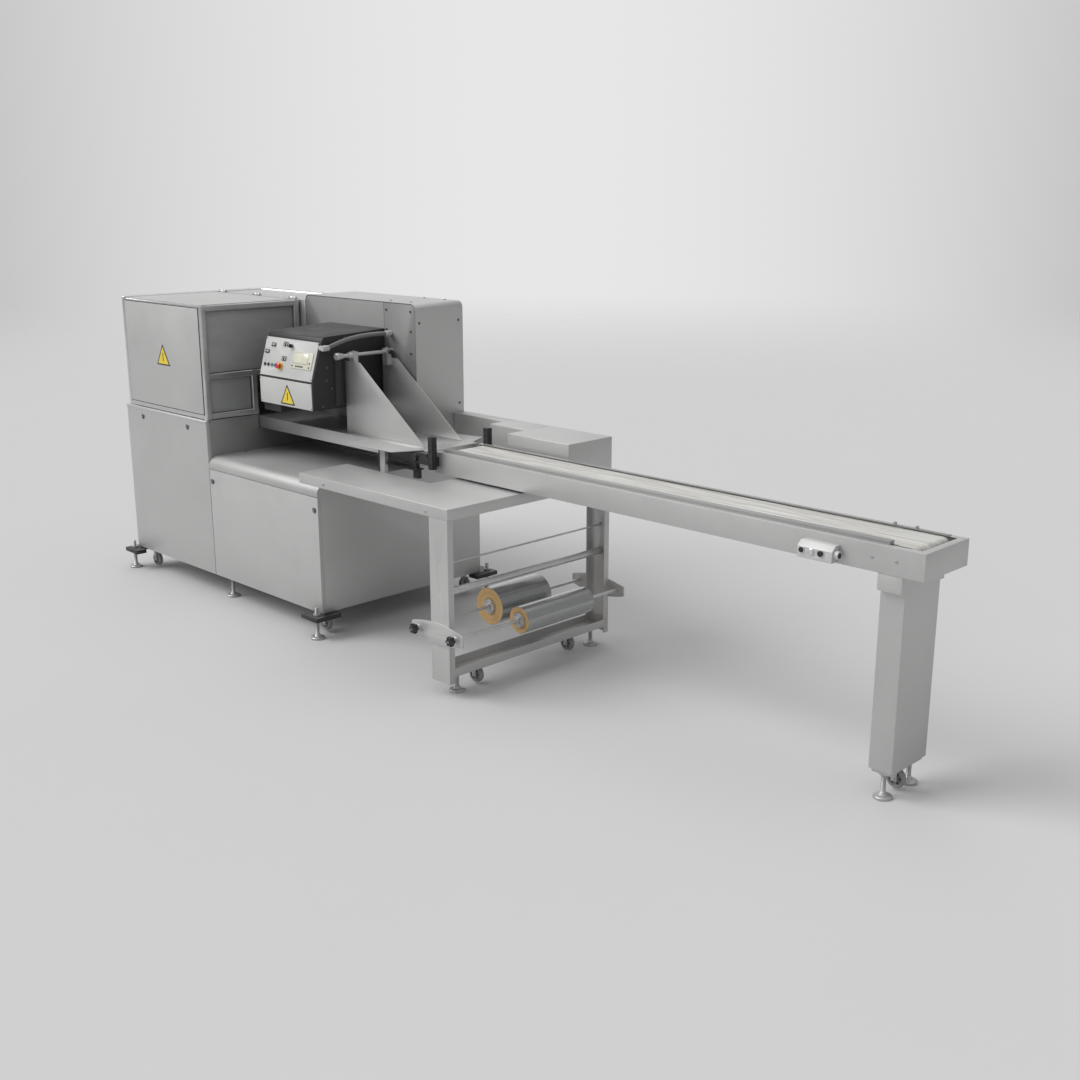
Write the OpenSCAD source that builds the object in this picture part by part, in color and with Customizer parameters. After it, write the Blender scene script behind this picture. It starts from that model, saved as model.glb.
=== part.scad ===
// Form, fill and seal wrapping machine: sealing cabinet with a lift-up hood, drive base,
// product bed with side guides, long infeed conveyor and a film stand below it.
// Origin: middle of the footprint, on the floor. +X runs along the conveyor away from the
// cabinet, -Y is the operator's side, +Z is up. Millimetres.

/* [Overall] */
// Length over the left corner plate and the conveyor's free end
machine_l = 4588; // [4580:2:4600]
// Width over the front knobs and the rear feet
machine_w = 1212; // [1208:2:1220]
// Height of the rear casing's top
machine_h = 1497; // [1490:1:1520]
// Thickness of the sheet metal
sheet = 3; // [2:0.5:4]

/* [Cabinet and base] */
// Length of the sealing cabinet along the machine
cabinet_w = 794; // [790:1:800]
// Length of the drive base along the machine
base_w = 919; // [910:1:925]
// Depth of both boxes
body_d = 991; // [980:1:995]
// Distance from the centre line to the front of both boxes
body_front = 470; // [468:1:475]
// Height of the undersides above the floor
body_clear = 114; // [112:1:120]
// Height of the cabinet's top ledge
cabinet_top = 904; // [900:1:908]
// Height of the drive base's top
base_top = 726; // [715:1:730]
// Radius of the bend along the base's top front edge
base_bend_r = 45; // [25:1:55]

/* [Hood] */
// Height of the hood's top
hood_top = 1467; // [1460:1:1475]
// Distance from the centre line to the hood's front
hood_front = 456; // [450:1:460]
// Distance from the centre line to the hood's rear edge
hood_rear = 120; // [110:1:122]
// Width of the hood's profiles
hood_bar = 30; // [24:1:34]

/* [Bed and guides] */
// Height of the product bed
bed_top = 898; // [890:1:900]
// Distance from the centre line to the bed's front
bed_front = 162; // [155:1:165]
// Height of the side guides above the bed
guide_h = 338; // [300:1:345]

/* [Control box] */
// Length of the control box along the machine
control_w = 438; // [430:1:445]
// Lean of the control panel's top edge
panel_lean = 55; // [45:1:60]

/* [Conveyor] */
// Length of the conveyor
conveyor_l = 2381; // [2370:1:2385]
// Width of the conveyor
conveyor_w = 284; // [280:1:288]
// Height of the conveyor's rim
conveyor_top = 900; // [895:1:905]
// Height of the conveyor's side walls
conveyor_h = 93; // [85:1:95]
// Radius of the belt rollers
belt_roller_r = 26; // [22:1:27]
// Thickness of the belt
belt_t = 2.4; // [2:0.2:3]

/* [Film stand] */
// Width of the stand's posts
post_w = 111; // [100:1:112]
// Radius of the film roll on the rear shaft
roll_rear_r = 83; // [60:1:95]
// Radius of the film roll on the front shaft
roll_front_r = 58; // [50:1:75]
// Radius of the levelling feet
foot_r = 33; // [30:1:38]

/* [Hidden] */
$fn = 48;

run_gap = 0.05;                       // radial clearance of a running fit
part_gap = 0.5;                       // clearance between bodies that pass each other

// stations along the machine
x_left = -machine_l / 2;
x_right = machine_l / 2;
cab_x0 = x_left + 36;
cab_x1 = cab_x0 + cabinet_w;
base_x1 = cab_x1 + base_w;
body_y0 = -body_front;
body_y1 = body_y0 + body_d;
panel_t = 20;                         // depth of a folded front panel
panel_gap = 5;                        // gap between the two front panels
lip_h = 14;                           // height of the lip above the cabinet's front panel

// hood and the housing behind it
hood_x0 = cab_x0 + 28;
hood_x1 = cab_x1 - 6;
hood_z0 = cabinet_top + 1;
hinge_y = hood_rear + 5.5;
hinge_r = 7;
hinge_z = hood_top + hinge_r;
hinge_pin_r = 3;
hinge_knuckle = 24;
hinge_xs = [hood_x0 + 45, (hood_x0 + hood_x1) / 2, hood_x1 - 45];
mid_bar_z0 = 1102;
mid_bar_z1 = 1134;
window_y = -155;                      // inner edge of the lower window's frame
hoop_r = 12;

// rear casing
casing_x0 = cab_x1 + 40;
casing_y0 = 128;
casing_y1 = 426;
housing_x1 = casing_x0 - 2;
housing_y1 = casing_y1 - 8;
outfeed_y1 = 90;                      // rear edge of the outfeed opening
casing_r = 32;
casing_seam_x = -779;

// bed
bed_x1 = -117;
bed_y1 = 125;
bed_h = 59;
guide_x0 = -770;
guide_x1 = -202;
guide_front_y = -118.5;
guide_rear_y = 105.5;
guide_top_w = 112;
rod_x = -720;
rod_z = bed_top + 368;
rod_r = 9;
rod_y0 = -212;

// control box
ctl_x0 = -1217;
ctl_x1 = ctl_x0 + control_w;
ctl_z0 = 1013;
ctl_z1 = 1353;
ctl_rear_z = 1369;
ctl_y0 = -302;
slope_z0 = 1147;
slope_z1 = 1329;
slope_a = atan(panel_lean / (slope_z1 - slope_z0));
slope_l = (slope_z1 - slope_z0) / cos(slope_a);
plate_t = 3;
button_xs = [-1182, -1153, -1124, -1097];
button_s = 54;                        // height of the button row up the slope
button_r = 8;
stop_spot = [-1055, 54];
stop_stem_r = 8;
stop_ring_r = 19;
stop_head_r = 16;
selector_spot = [-990, 155];
selector_stem_r = 5;

// conveyor
conv_x0 = x_right - conveyor_l;
conv_y0 = -159;
conv_y1 = conv_y0 + conveyor_w;
conv_z0 = conveyor_top - conveyor_h;
rim_front = 28;
rim_rear = 20;
belt_y0 = -106;
belt_y1 = 100;
belt_z = conveyor_top - 4;            // carrying face of the belt
belt_gap = 0.3;
belt_out_r = belt_roller_r + belt_gap + belt_t;
belt_axis_z = belt_z - belt_out_r;
drive_x = conv_x0 + 37;
tail_x = x_right - 81;
roller_pin_r = 8;
boss_l = 17;

// conveyor leg
leg_x0 = 2127;
leg_w = 90;
leg_y0 = -131;
leg_y1 = 97;
leg_z0 = 107;

// film stand
post_x1 = 450;
post_x0 = post_x1 - post_w;
post_y0 = -558;
post_y1 = 399;
post_depth = 30;
post_z0 = 60;
table_z0 = 749;
table_z1 = 796;
table_x0 = -554;
table_y0 = -556;
table_y1 = 428;
table_arm_x0 = 30;
table_left_y1 = -288;
channel_z0 = 88;
channel_z1 = 123;
stand_x = 398;
shaft_z = 269;
shaft_rear_x = 269;
shaft_front_x = 497;
shaft_r = 7;
roller_z = 436;
guide_roller_r = 16;
axle_r = 6;
tie_z = 557;
tie_r = 4;
end_plate_t = 8;
core_r = 36;
knob_y0 = -machine_w / 2;
knob_r = 22;

// rear covers
cover_z1 = 959;

// feet and casters
foot_rear_y = machine_w / 2 - foot_r;
foot_front_y = -498;
corner_x0 = x_left + 44;
corner_x1 = base_x1 - 6;
mid_foot_x = (corner_x0 + corner_x1) / 2;
stud_r = 9;
plate_x = 125;
plate_y = 140;
plate_z0 = 90;
plate_z1 = 110;
wheel_r = 36;
wheel_w = 24;
wheel_z = 46;
wheel_pin_r = 4;
caster_spots = [
    [-2165, -410, body_clear], [-600, -410, body_clear],
    [-2165, 461, body_clear], [-600, 461, body_clear],
    [stand_x, -364, channel_z0], [stand_x, 188, channel_z0],
    [leg_x0 + leg_w / 2, -16, leg_z0 - 12]
];

// sealing jaws
jaw_x = -1800;
jaw_w = 60;
jaw_y0 = -225;
jaw_y1 = 195;
jaw_open_up = 965;
jaw_open_low = 865;
jaw_h = 50;
column_r = 10;
column_ys = [-200, 170];
piston_y = -15;
piston_r = 8;
rail_z0 = 730;
rail_z1 = 760;
beam_bottom = 1199;
cylinder_top = 1340;
leg_bar = 30;

// drive
gearbox_x0 = -1120;
gearbox_x1 = -940;
motor_x1 = -700;
motor_z = 235;
motor_r = 75;

// switch box on the conveyor
switch_x0 = 1845;
switch_x1 = 1981;
switch_z0 = 815;
switch_z1 = 872;
switch_y0 = conv_y0 - 46;
switch_z = 842;
lamp_x = 1900;
start_x = 1862;
stop_x = 1938;
start_r = 9;
stop_r = 10;

// ---- shared shapes ----

// box from one corner to the opposite corner
module block(p, q) translate(p) cube(q - p);

// a (Y, Z) outline drawn out along X
module along_x(x0, x1) translate([x0, 0, 0]) rotate([90, 0, 90]) linear_extrude(x1 - x0) children();

// an (X, Z) outline drawn out along Y
module along_y(y0, y1) translate([0, y1, 0]) rotate([90, 0, 0]) linear_extrude(y1 - y0) children();

// round bars along each axis
module rod_along_x(x0, x1, y, z, r) translate([x0, y, z]) rotate([0, 90, 0]) cylinder(h = x1 - x0, r = r);
module rod_along_y(x, y0, y1, z, r) translate([x, y1, z]) rotate([90, 0, 0]) cylinder(h = y1 - y0, r = r);
module rod_along_z(x, y, z0, z1, r) translate([x, y, z0]) cylinder(h = z1 - z0, r = r);

// rectangle whose four corners are rounded
module round_rect(w, h, r) {
    translate([r, 0]) square([w - 2 * r, h]);
    translate([0, r]) square([w, h - 2 * r]);
    for (x = [r, w - r], y = [r, h - r]) translate([x, y]) circle(r);
}

// square aluminium profile with rounded long edges
module bar_x(x0, x1, y, z, w) along_x(x0, x1) translate([y, z]) round_rect(w, w, 5);
module bar_y(x, y0, y1, z, w) along_y(y0, y1) translate([x, z]) round_rect(w, w, 5);
module bar_z(x, y, z0, z1, w) translate([x, y, z0]) linear_extrude(z1 - z0) round_rect(w, w, 5);

// cap head of a panel screw: its seat at the origin, standing out along +Z
module screw_head(r = 6, h = 3) {
    cylinder(h = h * 0.6, r = r);
    translate([0, 0, h * 0.6]) cylinder(h = h * 0.4, r1 = r, r2 = r * 0.7);
}

// screw heads that stand out of a front (-Y), top (+Z) or right (+X) face
module front_screw(x, y, z, r = 6, h = 3) translate([x, y, z]) rotate([90, 0, 0]) screw_head(r, h);
module top_screw(x, y, z, r = 6) translate([x, y, z]) screw_head(r);
module right_screw(x, y, z, r = 6) translate([x, y, z]) rotate([0, 90, 0]) screw_head(r);

// places its children on the sloping control panel: X along it, Z up the slope, -Y outwards
module on_slope(x, s) {
    translate([x, ctl_y0, slope_z0]) rotate([-slope_a, 0, 0]) translate([0, -plate_t, s]) children();
}

// round push button facing -Y: its cap stands out of the face and its body runs in the hole
module push_button(r, cap) {
    rod_along_y(0, -cap, 8, 0, r);
    rod_along_y(0, 7, 14, 0, r / 2);
}

// frames for sweeping a round tube along a smooth route
function lerp(a, b, t) = a + (b - a) * t;
function spline(a, b, c, d, t) =
    0.5 * (2 * b + (c - a) * t + (2 * a - 5 * b + 4 * c - d) * t * t
    + (3 * b - a - 3 * c + d) * t * t * t);
function smooth_route(p, steps) = [
    for (i = [0 : len(p) - 2], k = [0 : steps - 1])
        spline(p[max(i - 1, 0)], p[i], p[i + 1], p[min(i + 2, len(p) - 1)], k / steps),
    p[len(p) - 1]
];
function unit(v) = v / norm(v);
function tangent(p, i) = unit(p[min(i + 1, len(p) - 1)] - p[max(i - 1, 0)]);

// round tube swept along a route; up is a direction that the route never follows
module swept_tube(route, r, sides, steps, up) {
    path = smooth_route(route, steps);
    n = len(path);
    rings = [
        for (i = [0 : n - 1])
            let (t = tangent(path, i), u = unit(cross(t, up)), v = cross(u, t))
            for (k = [0 : sides - 1])
                path[i] + r * (cos(360 * k / sides) * u + sin(360 * k / sides) * v)
    ];
    walls = [
        for (i = [0 : n - 2], k = [0 : sides - 1])
            [i * sides + k, i * sides + (k + 1) % sides,
             (i + 1) * sides + (k + 1) % sides, (i + 1) * sides + k]
    ];
    first = [for (k = [sides - 1 : -1 : 0]) k];
    last = [for (k = [0 : sides - 1]) (n - 1) * sides + k];
    polyhedron(rings, concat([first], walls, [last]));
}

// ---- cabinet and base ----

module cabinet_shell() color("gainsboro") difference() {
    block([cab_x0, body_y0 + panel_t, body_clear], [cab_x1, body_y1, cabinet_top]);
    block([cab_x0 + sheet, body_y0, body_clear + sheet], [cab_x1 - sheet, body_y1 - sheet, cabinet_top + 1]);
    // the bed and the outfeed pass through the two end walls
    block([cab_x0 - 1, -bed_front - 3, bed_top - bed_h - 3], [cab_x1 + 1, bed_y1 + 3, cabinet_top + 1]);
}

// folded front panel, open at the back
module folded_panel(x0, x1, z1) difference() {
    block([x0, body_y0, body_clear], [x1, body_y0 + panel_t, z1]);
    block([x0 + sheet, body_y0 + sheet, body_clear + sheet], [x1 - sheet, body_y0 + panel_t + 1, z1 - sheet]);
}

module front_panels() color("lightgray") {
    folded_panel(cab_x0, cab_x1, cabinet_top - lip_h);
    // raised lip along the top edge of the cabinet's panel
    along_x(cab_x0, cab_x1) translate([body_y0 - sheet, cabinet_top - lip_h])
        round_rect(panel_t, lip_h, sheet);
    folded_panel(cab_x1 + panel_gap, base_x1, base_top - base_bend_r - 17);
}

module base_shell() color("gainsboro") intersection() {
    difference() {
        block([cab_x1, body_y0 + panel_t, body_clear], [base_x1, body_y1, base_top - sheet]);
        block([cab_x1 + sheet, body_y0, body_clear + sheet], [base_x1 - sheet, body_y1 - sheet, base_top]);
    }
    // the walls follow the bend of the cover above them
    along_x(cab_x1, base_x1) translate([sheet, -sheet])
        bend_outline(body_y0, body_y1 - sheet, base_top, base_bend_r - sheet, base_top - body_clear);
}

module bend_outline(y0, y1, z1, r, drop) {
    translate([y0 + r, z1 - drop]) square([y1 - y0 - r, drop]);
    translate([y0, z1 - drop]) square([y1 - y0, drop - r]);
    intersection() {
        translate([y0 + r, z1 - r]) circle(r);
        translate([y0, z1 - r]) square(r);
    }
}

module base_top_cover() color("silver") along_x(cab_x1 + 1, base_x1) difference() {
    bend_outline(body_y0, body_y1, base_top, base_bend_r, base_bend_r + 15);
    translate([sheet, -sheet])
        bend_outline(body_y0, body_y1, base_top, base_bend_r - sheet, base_bend_r + 15);
}

// fixed housing behind the hood, open to it, and the end panel on the outfeed side
module upper_housing() color("gainsboro") {
    difference() {
        block([cab_x0, casing_y0, cabinet_top], [housing_x1, housing_y1, hood_top]);
        block([cab_x0 + sheet, casing_y0 - 1, cabinet_top - 1],
              [cab_x1 - 20, casing_y0 + sheet + 1, hood_top - sheet]);
        block([cab_x0 + sheet, casing_y0 + sheet, cabinet_top - 1],
              [housing_x1 - sheet, housing_y1 - sheet, hood_top - sheet]);
        hoop(hoop_r + run_gap);
    }
    difference() {
        block([cab_x0 + 4, body_y0 + panel_t, cabinet_top], [cab_x0 + 4 + sheet, casing_y0, hood_top]);
        block([cab_x0, window_y, cabinet_top - 1], [cab_x0 + 10, outfeed_y1, mid_bar_z0]);
        hoop(hoop_r + run_gap);
    }
}

// tube along the hood's left and rear top edges and down its left front corner
module hoop(r) {
    x = cab_x0 + hoop_r;
    z = hood_top - 2;
    rod_along_z(x, -hood_front + hoop_r, cabinet_top, z, r);
    rod_along_y(x, -hood_front + hoop_r, casing_y1 - 16, z, r);
    rod_along_x(x, housing_x1, casing_y1 - 16, z, r);
    for (y = [-hood_front + hoop_r, casing_y1 - 16]) translate([x, y, z]) sphere(r);
}

// the hoop, and the fixed halves of the hood's hinges with their pins
module hood_rails() color("silver") {
    hoop(hoop_r);
    for (x = hinge_xs) {
        rod_along_x(x - 2 * hinge_knuckle, x - hinge_knuckle / 2 - part_gap, hinge_y, hinge_z, hinge_r);
        pin_x0 = x - hinge_knuckle / 2 - part_gap - 1;
        rod_along_x(pin_x0, x + hinge_knuckle / 2 + 2, hinge_y, hinge_z, hinge_pin_r);
        block([x - 2 * hinge_knuckle, hinge_y, hinge_z - hinge_r],
              [x - hinge_knuckle / 2 - part_gap, casing_y0 + 30, hinge_z - hinge_r + 3]);
    }
}

// ---- feet, corner plates and casters ----

module foot_profile(stud_top) rotate_extrude() polygon([
    [0, 0], [foot_r, 0], [foot_r, 8], [foot_r - 4, 12], [16, 14], [13, 22], [stud_r, 25],
    [stud_r, stud_top - 2], [stud_r - 2, stud_top], [0, stud_top]
]);

module hex_nut(z, across = 30, h = 10) translate([0, 0, z]) cylinder(h = h, d = across / cos(30), $fn = 6);

module levelling_feet() color("silver") {
    for (x = [corner_x0, corner_x1], y = [foot_front_y, foot_rear_y]) translate([x, y, 0]) {
        foot_profile(150);
        hex_nut(plate_z0 - 10);
        hex_nut(plate_z1);
    }
    for (y = [foot_front_y + 85, foot_rear_y - 107]) translate([mid_foot_x, y, 0]) {
        foot_profile(body_clear);
        hex_nut(body_clear - 12);
    }
    for (y = [-475, 338]) translate([stand_x, y, 0]) {
        foot_profile(channel_z0);
        hex_nut(channel_z0 - 10);
    }
    for (y = [-101, 69]) translate([leg_x0 + leg_w / 2, y, 0]) {
        foot_profile(leg_z0 - 12);
        hex_nut(leg_z0 - 22);
    }
}

module corner_plate(flip_x, flip_y) {
    x = flip_x ? corner_x0 : corner_x1;
    y = flip_y ? foot_rear_y : foot_front_y;
    translate([x, y, 0]) mirror([flip_x ? 1 : 0, 0, 0]) mirror([0, flip_y ? 1 : 0, 0]) difference() {
        union() {
            block([44 - plate_x, -32, plate_z0], [44, 24, plate_z1]);
            block([-20, 23, plate_z0], [44, plate_y - 32, plate_z1]);
            block([-20, 30, plate_z1 - 1], [20, plate_y - 40, body_clear]);
        }
        rod_along_z(0, 0, plate_z0 - 1, plate_z1 + 1, stud_r);
    }
}

module corner_plates() color([0.1, 0.1, 0.11])
    for (flip_x = [false, true], flip_y = [false, true]) corner_plate(flip_x, flip_y);

module caster_fork(top) {
    half = wheel_w / 2 + 1.5;
    for (side = [-1, 1]) {
        block([-wheel_pin_r - 7, side > 0 ? half : -half - 3, wheel_z - 9],
              [wheel_pin_r + 7, side > 0 ? half + 3 : -half, wheel_z + wheel_r + 4]);
    }
    block([-14, -half - 3, wheel_z + wheel_r + 1], [14, half + 3, wheel_z + wheel_r + 4]);
    rod_along_z(0, 0, wheel_z + wheel_r + 3, top, 9);
    block([-26, -22, top - 3], [26, 22, top]);
    rod_along_y(0, -half - 6, half + 6, wheel_z, wheel_pin_r);
}

module caster_forks() color("silver") {
    for (spot = caster_spots) translate([spot.x, spot.y, 0]) caster_fork(spot.z);
}

module caster_wheel(i) color([0.35, 0.35, 0.36]) {
    spot = caster_spots[i - 1];
    translate([spot.x, spot.y, wheel_z]) rotate([90, 0, 0]) rotate_extrude() polygon([
        [wheel_pin_r + run_gap, -wheel_w / 2], [10, -wheel_w / 2], [12, -wheel_w / 2 + 4],
        [20, -wheel_w / 2 + 4], [22, -wheel_w / 2], [wheel_r - 3, -wheel_w / 2],
        [wheel_r, -wheel_w / 2 + 4], [wheel_r, wheel_w / 2 - 4], [wheel_r - 3, wheel_w / 2],
        [22, wheel_w / 2], [20, wheel_w / 2 - 4], [12, wheel_w / 2 - 4], [10, wheel_w / 2],
        [wheel_pin_r + run_gap, wheel_w / 2]
    ]);
}

// ---- rear casing ----

module casing_outline(grow) {
    x0 = casing_x0 - grow;
    x1 = base_x1 + grow;
    z1 = machine_h + grow;
    r = casing_r + grow;
    translate([x0, base_top]) square([x1 - x0, z1 - r - base_top]);
    translate([x0 + r, base_top]) square([x1 - x0 - 2 * r, z1 - base_top]);
    for (x = [x0 + r, x1 - r]) translate([x, z1 - r]) circle(r);
}

module casing_wrap() color("gainsboro") along_y(casing_y0, casing_y1) difference() {
    casing_outline(0);
    intersection() {
        casing_outline(-sheet);
        translate([casing_x0, base_top]) square([base_x1 - casing_x0, machine_h - base_top]);
    }
}

module casing_panels() color("lightgray") {
    seam = 2;
    along_y(casing_y0 + 1, casing_y0 + 1 + sheet) intersection() {
        casing_outline(-sheet - seam);
        translate([casing_x0, base_top]) square([casing_seam_x - seam - casing_x0, machine_h]);
    }
    along_y(casing_y0 + 1, casing_y0 + 1 + sheet) intersection() {
        casing_outline(-sheet - seam);
        translate([casing_seam_x, base_top]) square([base_x1 - casing_seam_x, machine_h]);
    }
    along_y(casing_y1 - 1 - sheet, casing_y1 - 1) casing_outline(-sheet - seam);
}

// ---- bed, wings and side guides ----

module infeed_bed() color("lightgray") difference() {
    block([cab_x1, -bed_front, bed_top - bed_h], [bed_x1, bed_y1, bed_top]);
    block([cab_x1 - 1, -bed_front + sheet, bed_top - bed_h - 1],
          [bed_x1 - sheet, bed_y1 - sheet, bed_top - sheet]);
}

module bed_wings() color("gainsboro") {
    translate([0, 0, bed_top - sheet]) linear_extrude(sheet) {
        polygon([[-562, -bed_front], [-525, -297], [-223, -291], [-154, -bed_front]]);
        polygon([[-540, bed_y1], [-500, 170], [-209, 241], [-150, bed_y1]]);
    }
}

// triangular side guide; inner is the side (1 or -1 along Y) that faces the product
module guide_plate(y, inner) {
    along_y(y - sheet / 2, y + sheet / 2) polygon([
        [guide_x0, bed_top + 1], [guide_x1, bed_top + 1], [guide_x0 + guide_top_w, bed_top + guide_h],
        [guide_x0, bed_top + guide_h]
    ]);
    // clamp that grips the plate's top edge and slides on the cross rod
    difference() {
        translate([0, y, 0]) mirror([0, inner > 0 ? 0 : 1, 0]) {
            block([rod_x - 18, sheet / 2 - 0.01, bed_top + guide_h - 34], [rod_x + 18, 26, rod_z + 16]);
            rod_along_y(rod_x, -20, 2, rod_z, 14);
        }
        rod_along_y(rod_x, y - 30, y + 30, rod_z, rod_r + run_gap);
    }
    rod_along_z(rod_x, y + inner * 13, rod_z + 15, rod_z + 20, 6);
}

module guide_plate_front() color("gainsboro") guide_plate(guide_front_y, 1);

module guide_plate_rear() color("gainsboro") guide_plate(guide_rear_y, -1);

module guide_rod() color("silver") {
    rod_along_y(rod_x, rod_y0 + 3, casing_y0 + 1, rod_z, rod_r);
    // end grip and the foot on the casing
    rod_along_y(rod_x, rod_y0, rod_y0 + 26, rod_z, 17);
    rod_along_y(rod_x, rod_y0 + 26, rod_y0 + 44, rod_z, 13);
}

// ---- control box ----

ctl_top_r = 24;
ctl_rear_y = casing_y0;
function arc(c, r, a0, a1, n) =
    [for (i = [0 : n]) c + r * [cos(lerp(a0, a1, i / n)), sin(lerp(a0, a1, i / n))]];

module control_outline() polygon(concat(
    [[ctl_rear_y, ctl_z0], [ctl_rear_y, ctl_rear_z]],
    arc([ctl_y0 + panel_lean + 4 + ctl_top_r, ctl_z1 - ctl_top_r], ctl_top_r, 90, 180 - slope_a, 6),
    [[ctl_y0, slope_z0], [ctl_y0, ctl_z0]]
));

module control_box() color([0.13, 0.13, 0.14]) {
    difference() {
        along_x(ctl_x0, ctl_x1) control_outline();
        along_x(ctl_x0 + sheet, ctl_x1 - sheet) intersection() {
            translate([sheet, 0]) control_outline();
            translate([0, -sheet - 1]) control_outline();
            translate([ctl_y0, ctl_z0 + sheet]) square([ctl_rear_y - ctl_y0 - sheet, ctl_rear_z - ctl_z0]);
        }
        // window behind the sloping panel
        on_slope(ctl_x0 + 14, 12) translate([0, plate_t - 1, 0]) cube([control_w - 34, 10, slope_l - 24]);
    }
    // round cable trunk down the side
    rod_along_z(ctl_x1, -156, ctl_z0 + 18, ctl_z1 - 90, 26);
    // mounting block below the box
    block([ctl_x0 + 5, ctl_y0 + 14, ctl_z0 - 38], [ctl_x0 + 145, casing_y0 - 2, ctl_z0]);
}

module control_panels() color("whitesmoke") {
    difference() {
        on_slope(ctl_x0 + 4, 2) cube([control_w - 14, plate_t, slope_l - 4]);
        for (x = button_xs) on_slope(x, button_s) rod_along_y(0, -1, 5, 0, button_r + part_gap);
        on_slope(stop_spot.x, stop_spot.y) rod_along_y(0, -1, 5, 0, stop_stem_r + part_gap);
        on_slope(selector_spot.x, selector_spot.y) rod_along_y(0, -1, 5, 0, selector_stem_r + part_gap);
    }
    block([ctl_x0 + 4, ctl_y0 - plate_t, ctl_z0 + 2], [ctl_x1 - 10, ctl_y0, slope_z0 - 8]);
    // yellow base ring of the emergency stop and the collar of the selector
    collar(stop_spot, stop_ring_r, stop_stem_r + 1);
    collar(selector_spot, 11, selector_stem_r + 1);
    // meters and paired lamps
    for (spot = [[-1139, 152], [-1185, 117]])
        on_slope(spot.x, spot.y) block([-17, -3, -8], [17, 0.01, 8]);
    for (spot = [[-1042, 162], [-1035, 93]], side = [-1, 1])
        on_slope(spot.x + side * 9, spot.y) block([-8, -3, -11], [8, 0.01, 11]);
}

module collar(spot, outer, inner) on_slope(spot.x, spot.y) rotate([90, 0, 0]) difference() {
    translate([0, 0, -0.01]) cylinder(h = 4, r = outer);
    translate([0, 0, -1]) cylinder(h = 6, r = inner);
}

module operator_display() color("ivory")
    on_slope(-967, 54) block([0, -4, 0], [160, -0.01, 82]);

module emergency_stop() color("red") on_slope(stop_spot.x, stop_spot.y) {
    rod_along_y(0, -14, 16, 0, stop_stem_r);
    rod_along_y(0, -22, -13, 0, stop_head_r);
}

module selector_knob() color("black") on_slope(selector_spot.x, selector_spot.y) {
    rod_along_y(0, -14, 14, 0, selector_stem_r);
    rod_along_y(0, -16, -5, 0, 9);
    block([-3, -21, -9], [3, -15, 9]);
}

button_colours = [[0.08, 0.08, 0.09], [0.08, 0.08, 0.09], [0.15, 0.45, 0.22], [0.12, 0.2, 0.45]];
module panel_button(i) color(button_colours[i - 1]) on_slope(button_xs[i - 1], button_s)
    push_button(button_r, 6);

// ---- conduit and cable ----

conduit_route = [
    [-752, -238, 1305], [-748, -215, 1312], [-745, -170, 1326], [-742, -116, 1339],
    [-738, -50, 1348], [-734, 10, 1351], [-731, 60, 1351], [-730, 104, 1350]
];

module conduit() color([0.3, 0.3, 0.31]) {
    swept_tube(conduit_route, 10.5, 12, 3, [0, 0, 1]);
    // elbow fitting on the control box and the gland on the casing
    rod_along_x(ctl_x1 + 0.01, -752, -250, 1304, 12);
    rod_along_y(-752, -264, -226, 1305, 14);
    rod_along_y(-730, 96, casing_y0 + 1, 1350, 14);
}

cable_route = [
    [-1190, -60, 894], [-1190, -60, 850], [-1182, -61, 828], [-1150, -64, 815], [-1080, -72, 806],
    [-980, -82, 801], [-880, -94, 800], [-780, -108, 803], [-680, -122, 811], [-590, -136, 819],
    [-520, -152, 826], [-465, -171, 836], [-430, -188, 848]
];

module bed_cable() color([0.06, 0.06, 0.06]) swept_tube(cable_route, 4, 8, 4, [0, 1, 0]);

// ---- brackets between the bed and the conveyor ----

post_holes = [20, 50, 80, 110];
beam_z0 = 843;
beam_z1 = 880;
upright_x0 = -428;
upright_x1 = -400;
pale_x1 = -360;
pulley_x = -170;
pulley_arm_z = 812;
module square_post(x, y) difference() {
    block([x - 14, y - 14, 826], [x + 14, y + 14, 970]);
    for (h = post_holes) rod_along_y(x, y - 20, y + 20, 826 + h, 3.2);
}

module transfer_brackets() color([0.12, 0.12, 0.13]) {
    // perforated posts beside the conveyor's end, each on a foot
    square_post(conv_x0 + 16, conv_y0 - 26);
    block([conv_x0 + 2, conv_y0 - 12, 840], [conv_x0 + 30, conv_y0, beam_z1]);
    square_post(conv_x0 + 16, conv_y1 + 20);
    block([conv_x0 + 2, conv_y1, 840], [conv_x0 + 30, conv_y1 + 6, beam_z1]);
    // beam from the bed to the conveyor
    block([upright_x1, -200, beam_z0], [-92, -164, beam_z1 + 13]);
    block([-92, -200, beam_z0], [conv_x0 + 2, -172, beam_z1]);
    // uprights on the table and their foot
    block([upright_x0, -205, table_z0], [upright_x1, -175, bed_top - sheet]);
    block([upright_x1 + 4, -222, table_z0], [pale_x1, -206, bed_top - sheet]);
    block([upright_x1 + 4, -207, beam_z0], [pale_x1, -199, beam_z1 + 13]);
    block([upright_x0, table_left_y1, table_z0], [pale_x1, -175, table_z0 + 5]);
    // film pulley with its arm and hanger
    rod_along_y(pulley_x, -212, -200, 868, 18);
    block([pale_x1, -215, pulley_arm_z], [pulley_x + 20, -170, pulley_arm_z + 6]);
    block([pulley_x - 30, -190, 770], [pulley_x + 5, -170, pulley_arm_z]);
    block([pulley_x - 30, -200, pulley_arm_z + 3], [pulley_x + 5, -180, 845]);
}

// ---- conveyor ----

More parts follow.
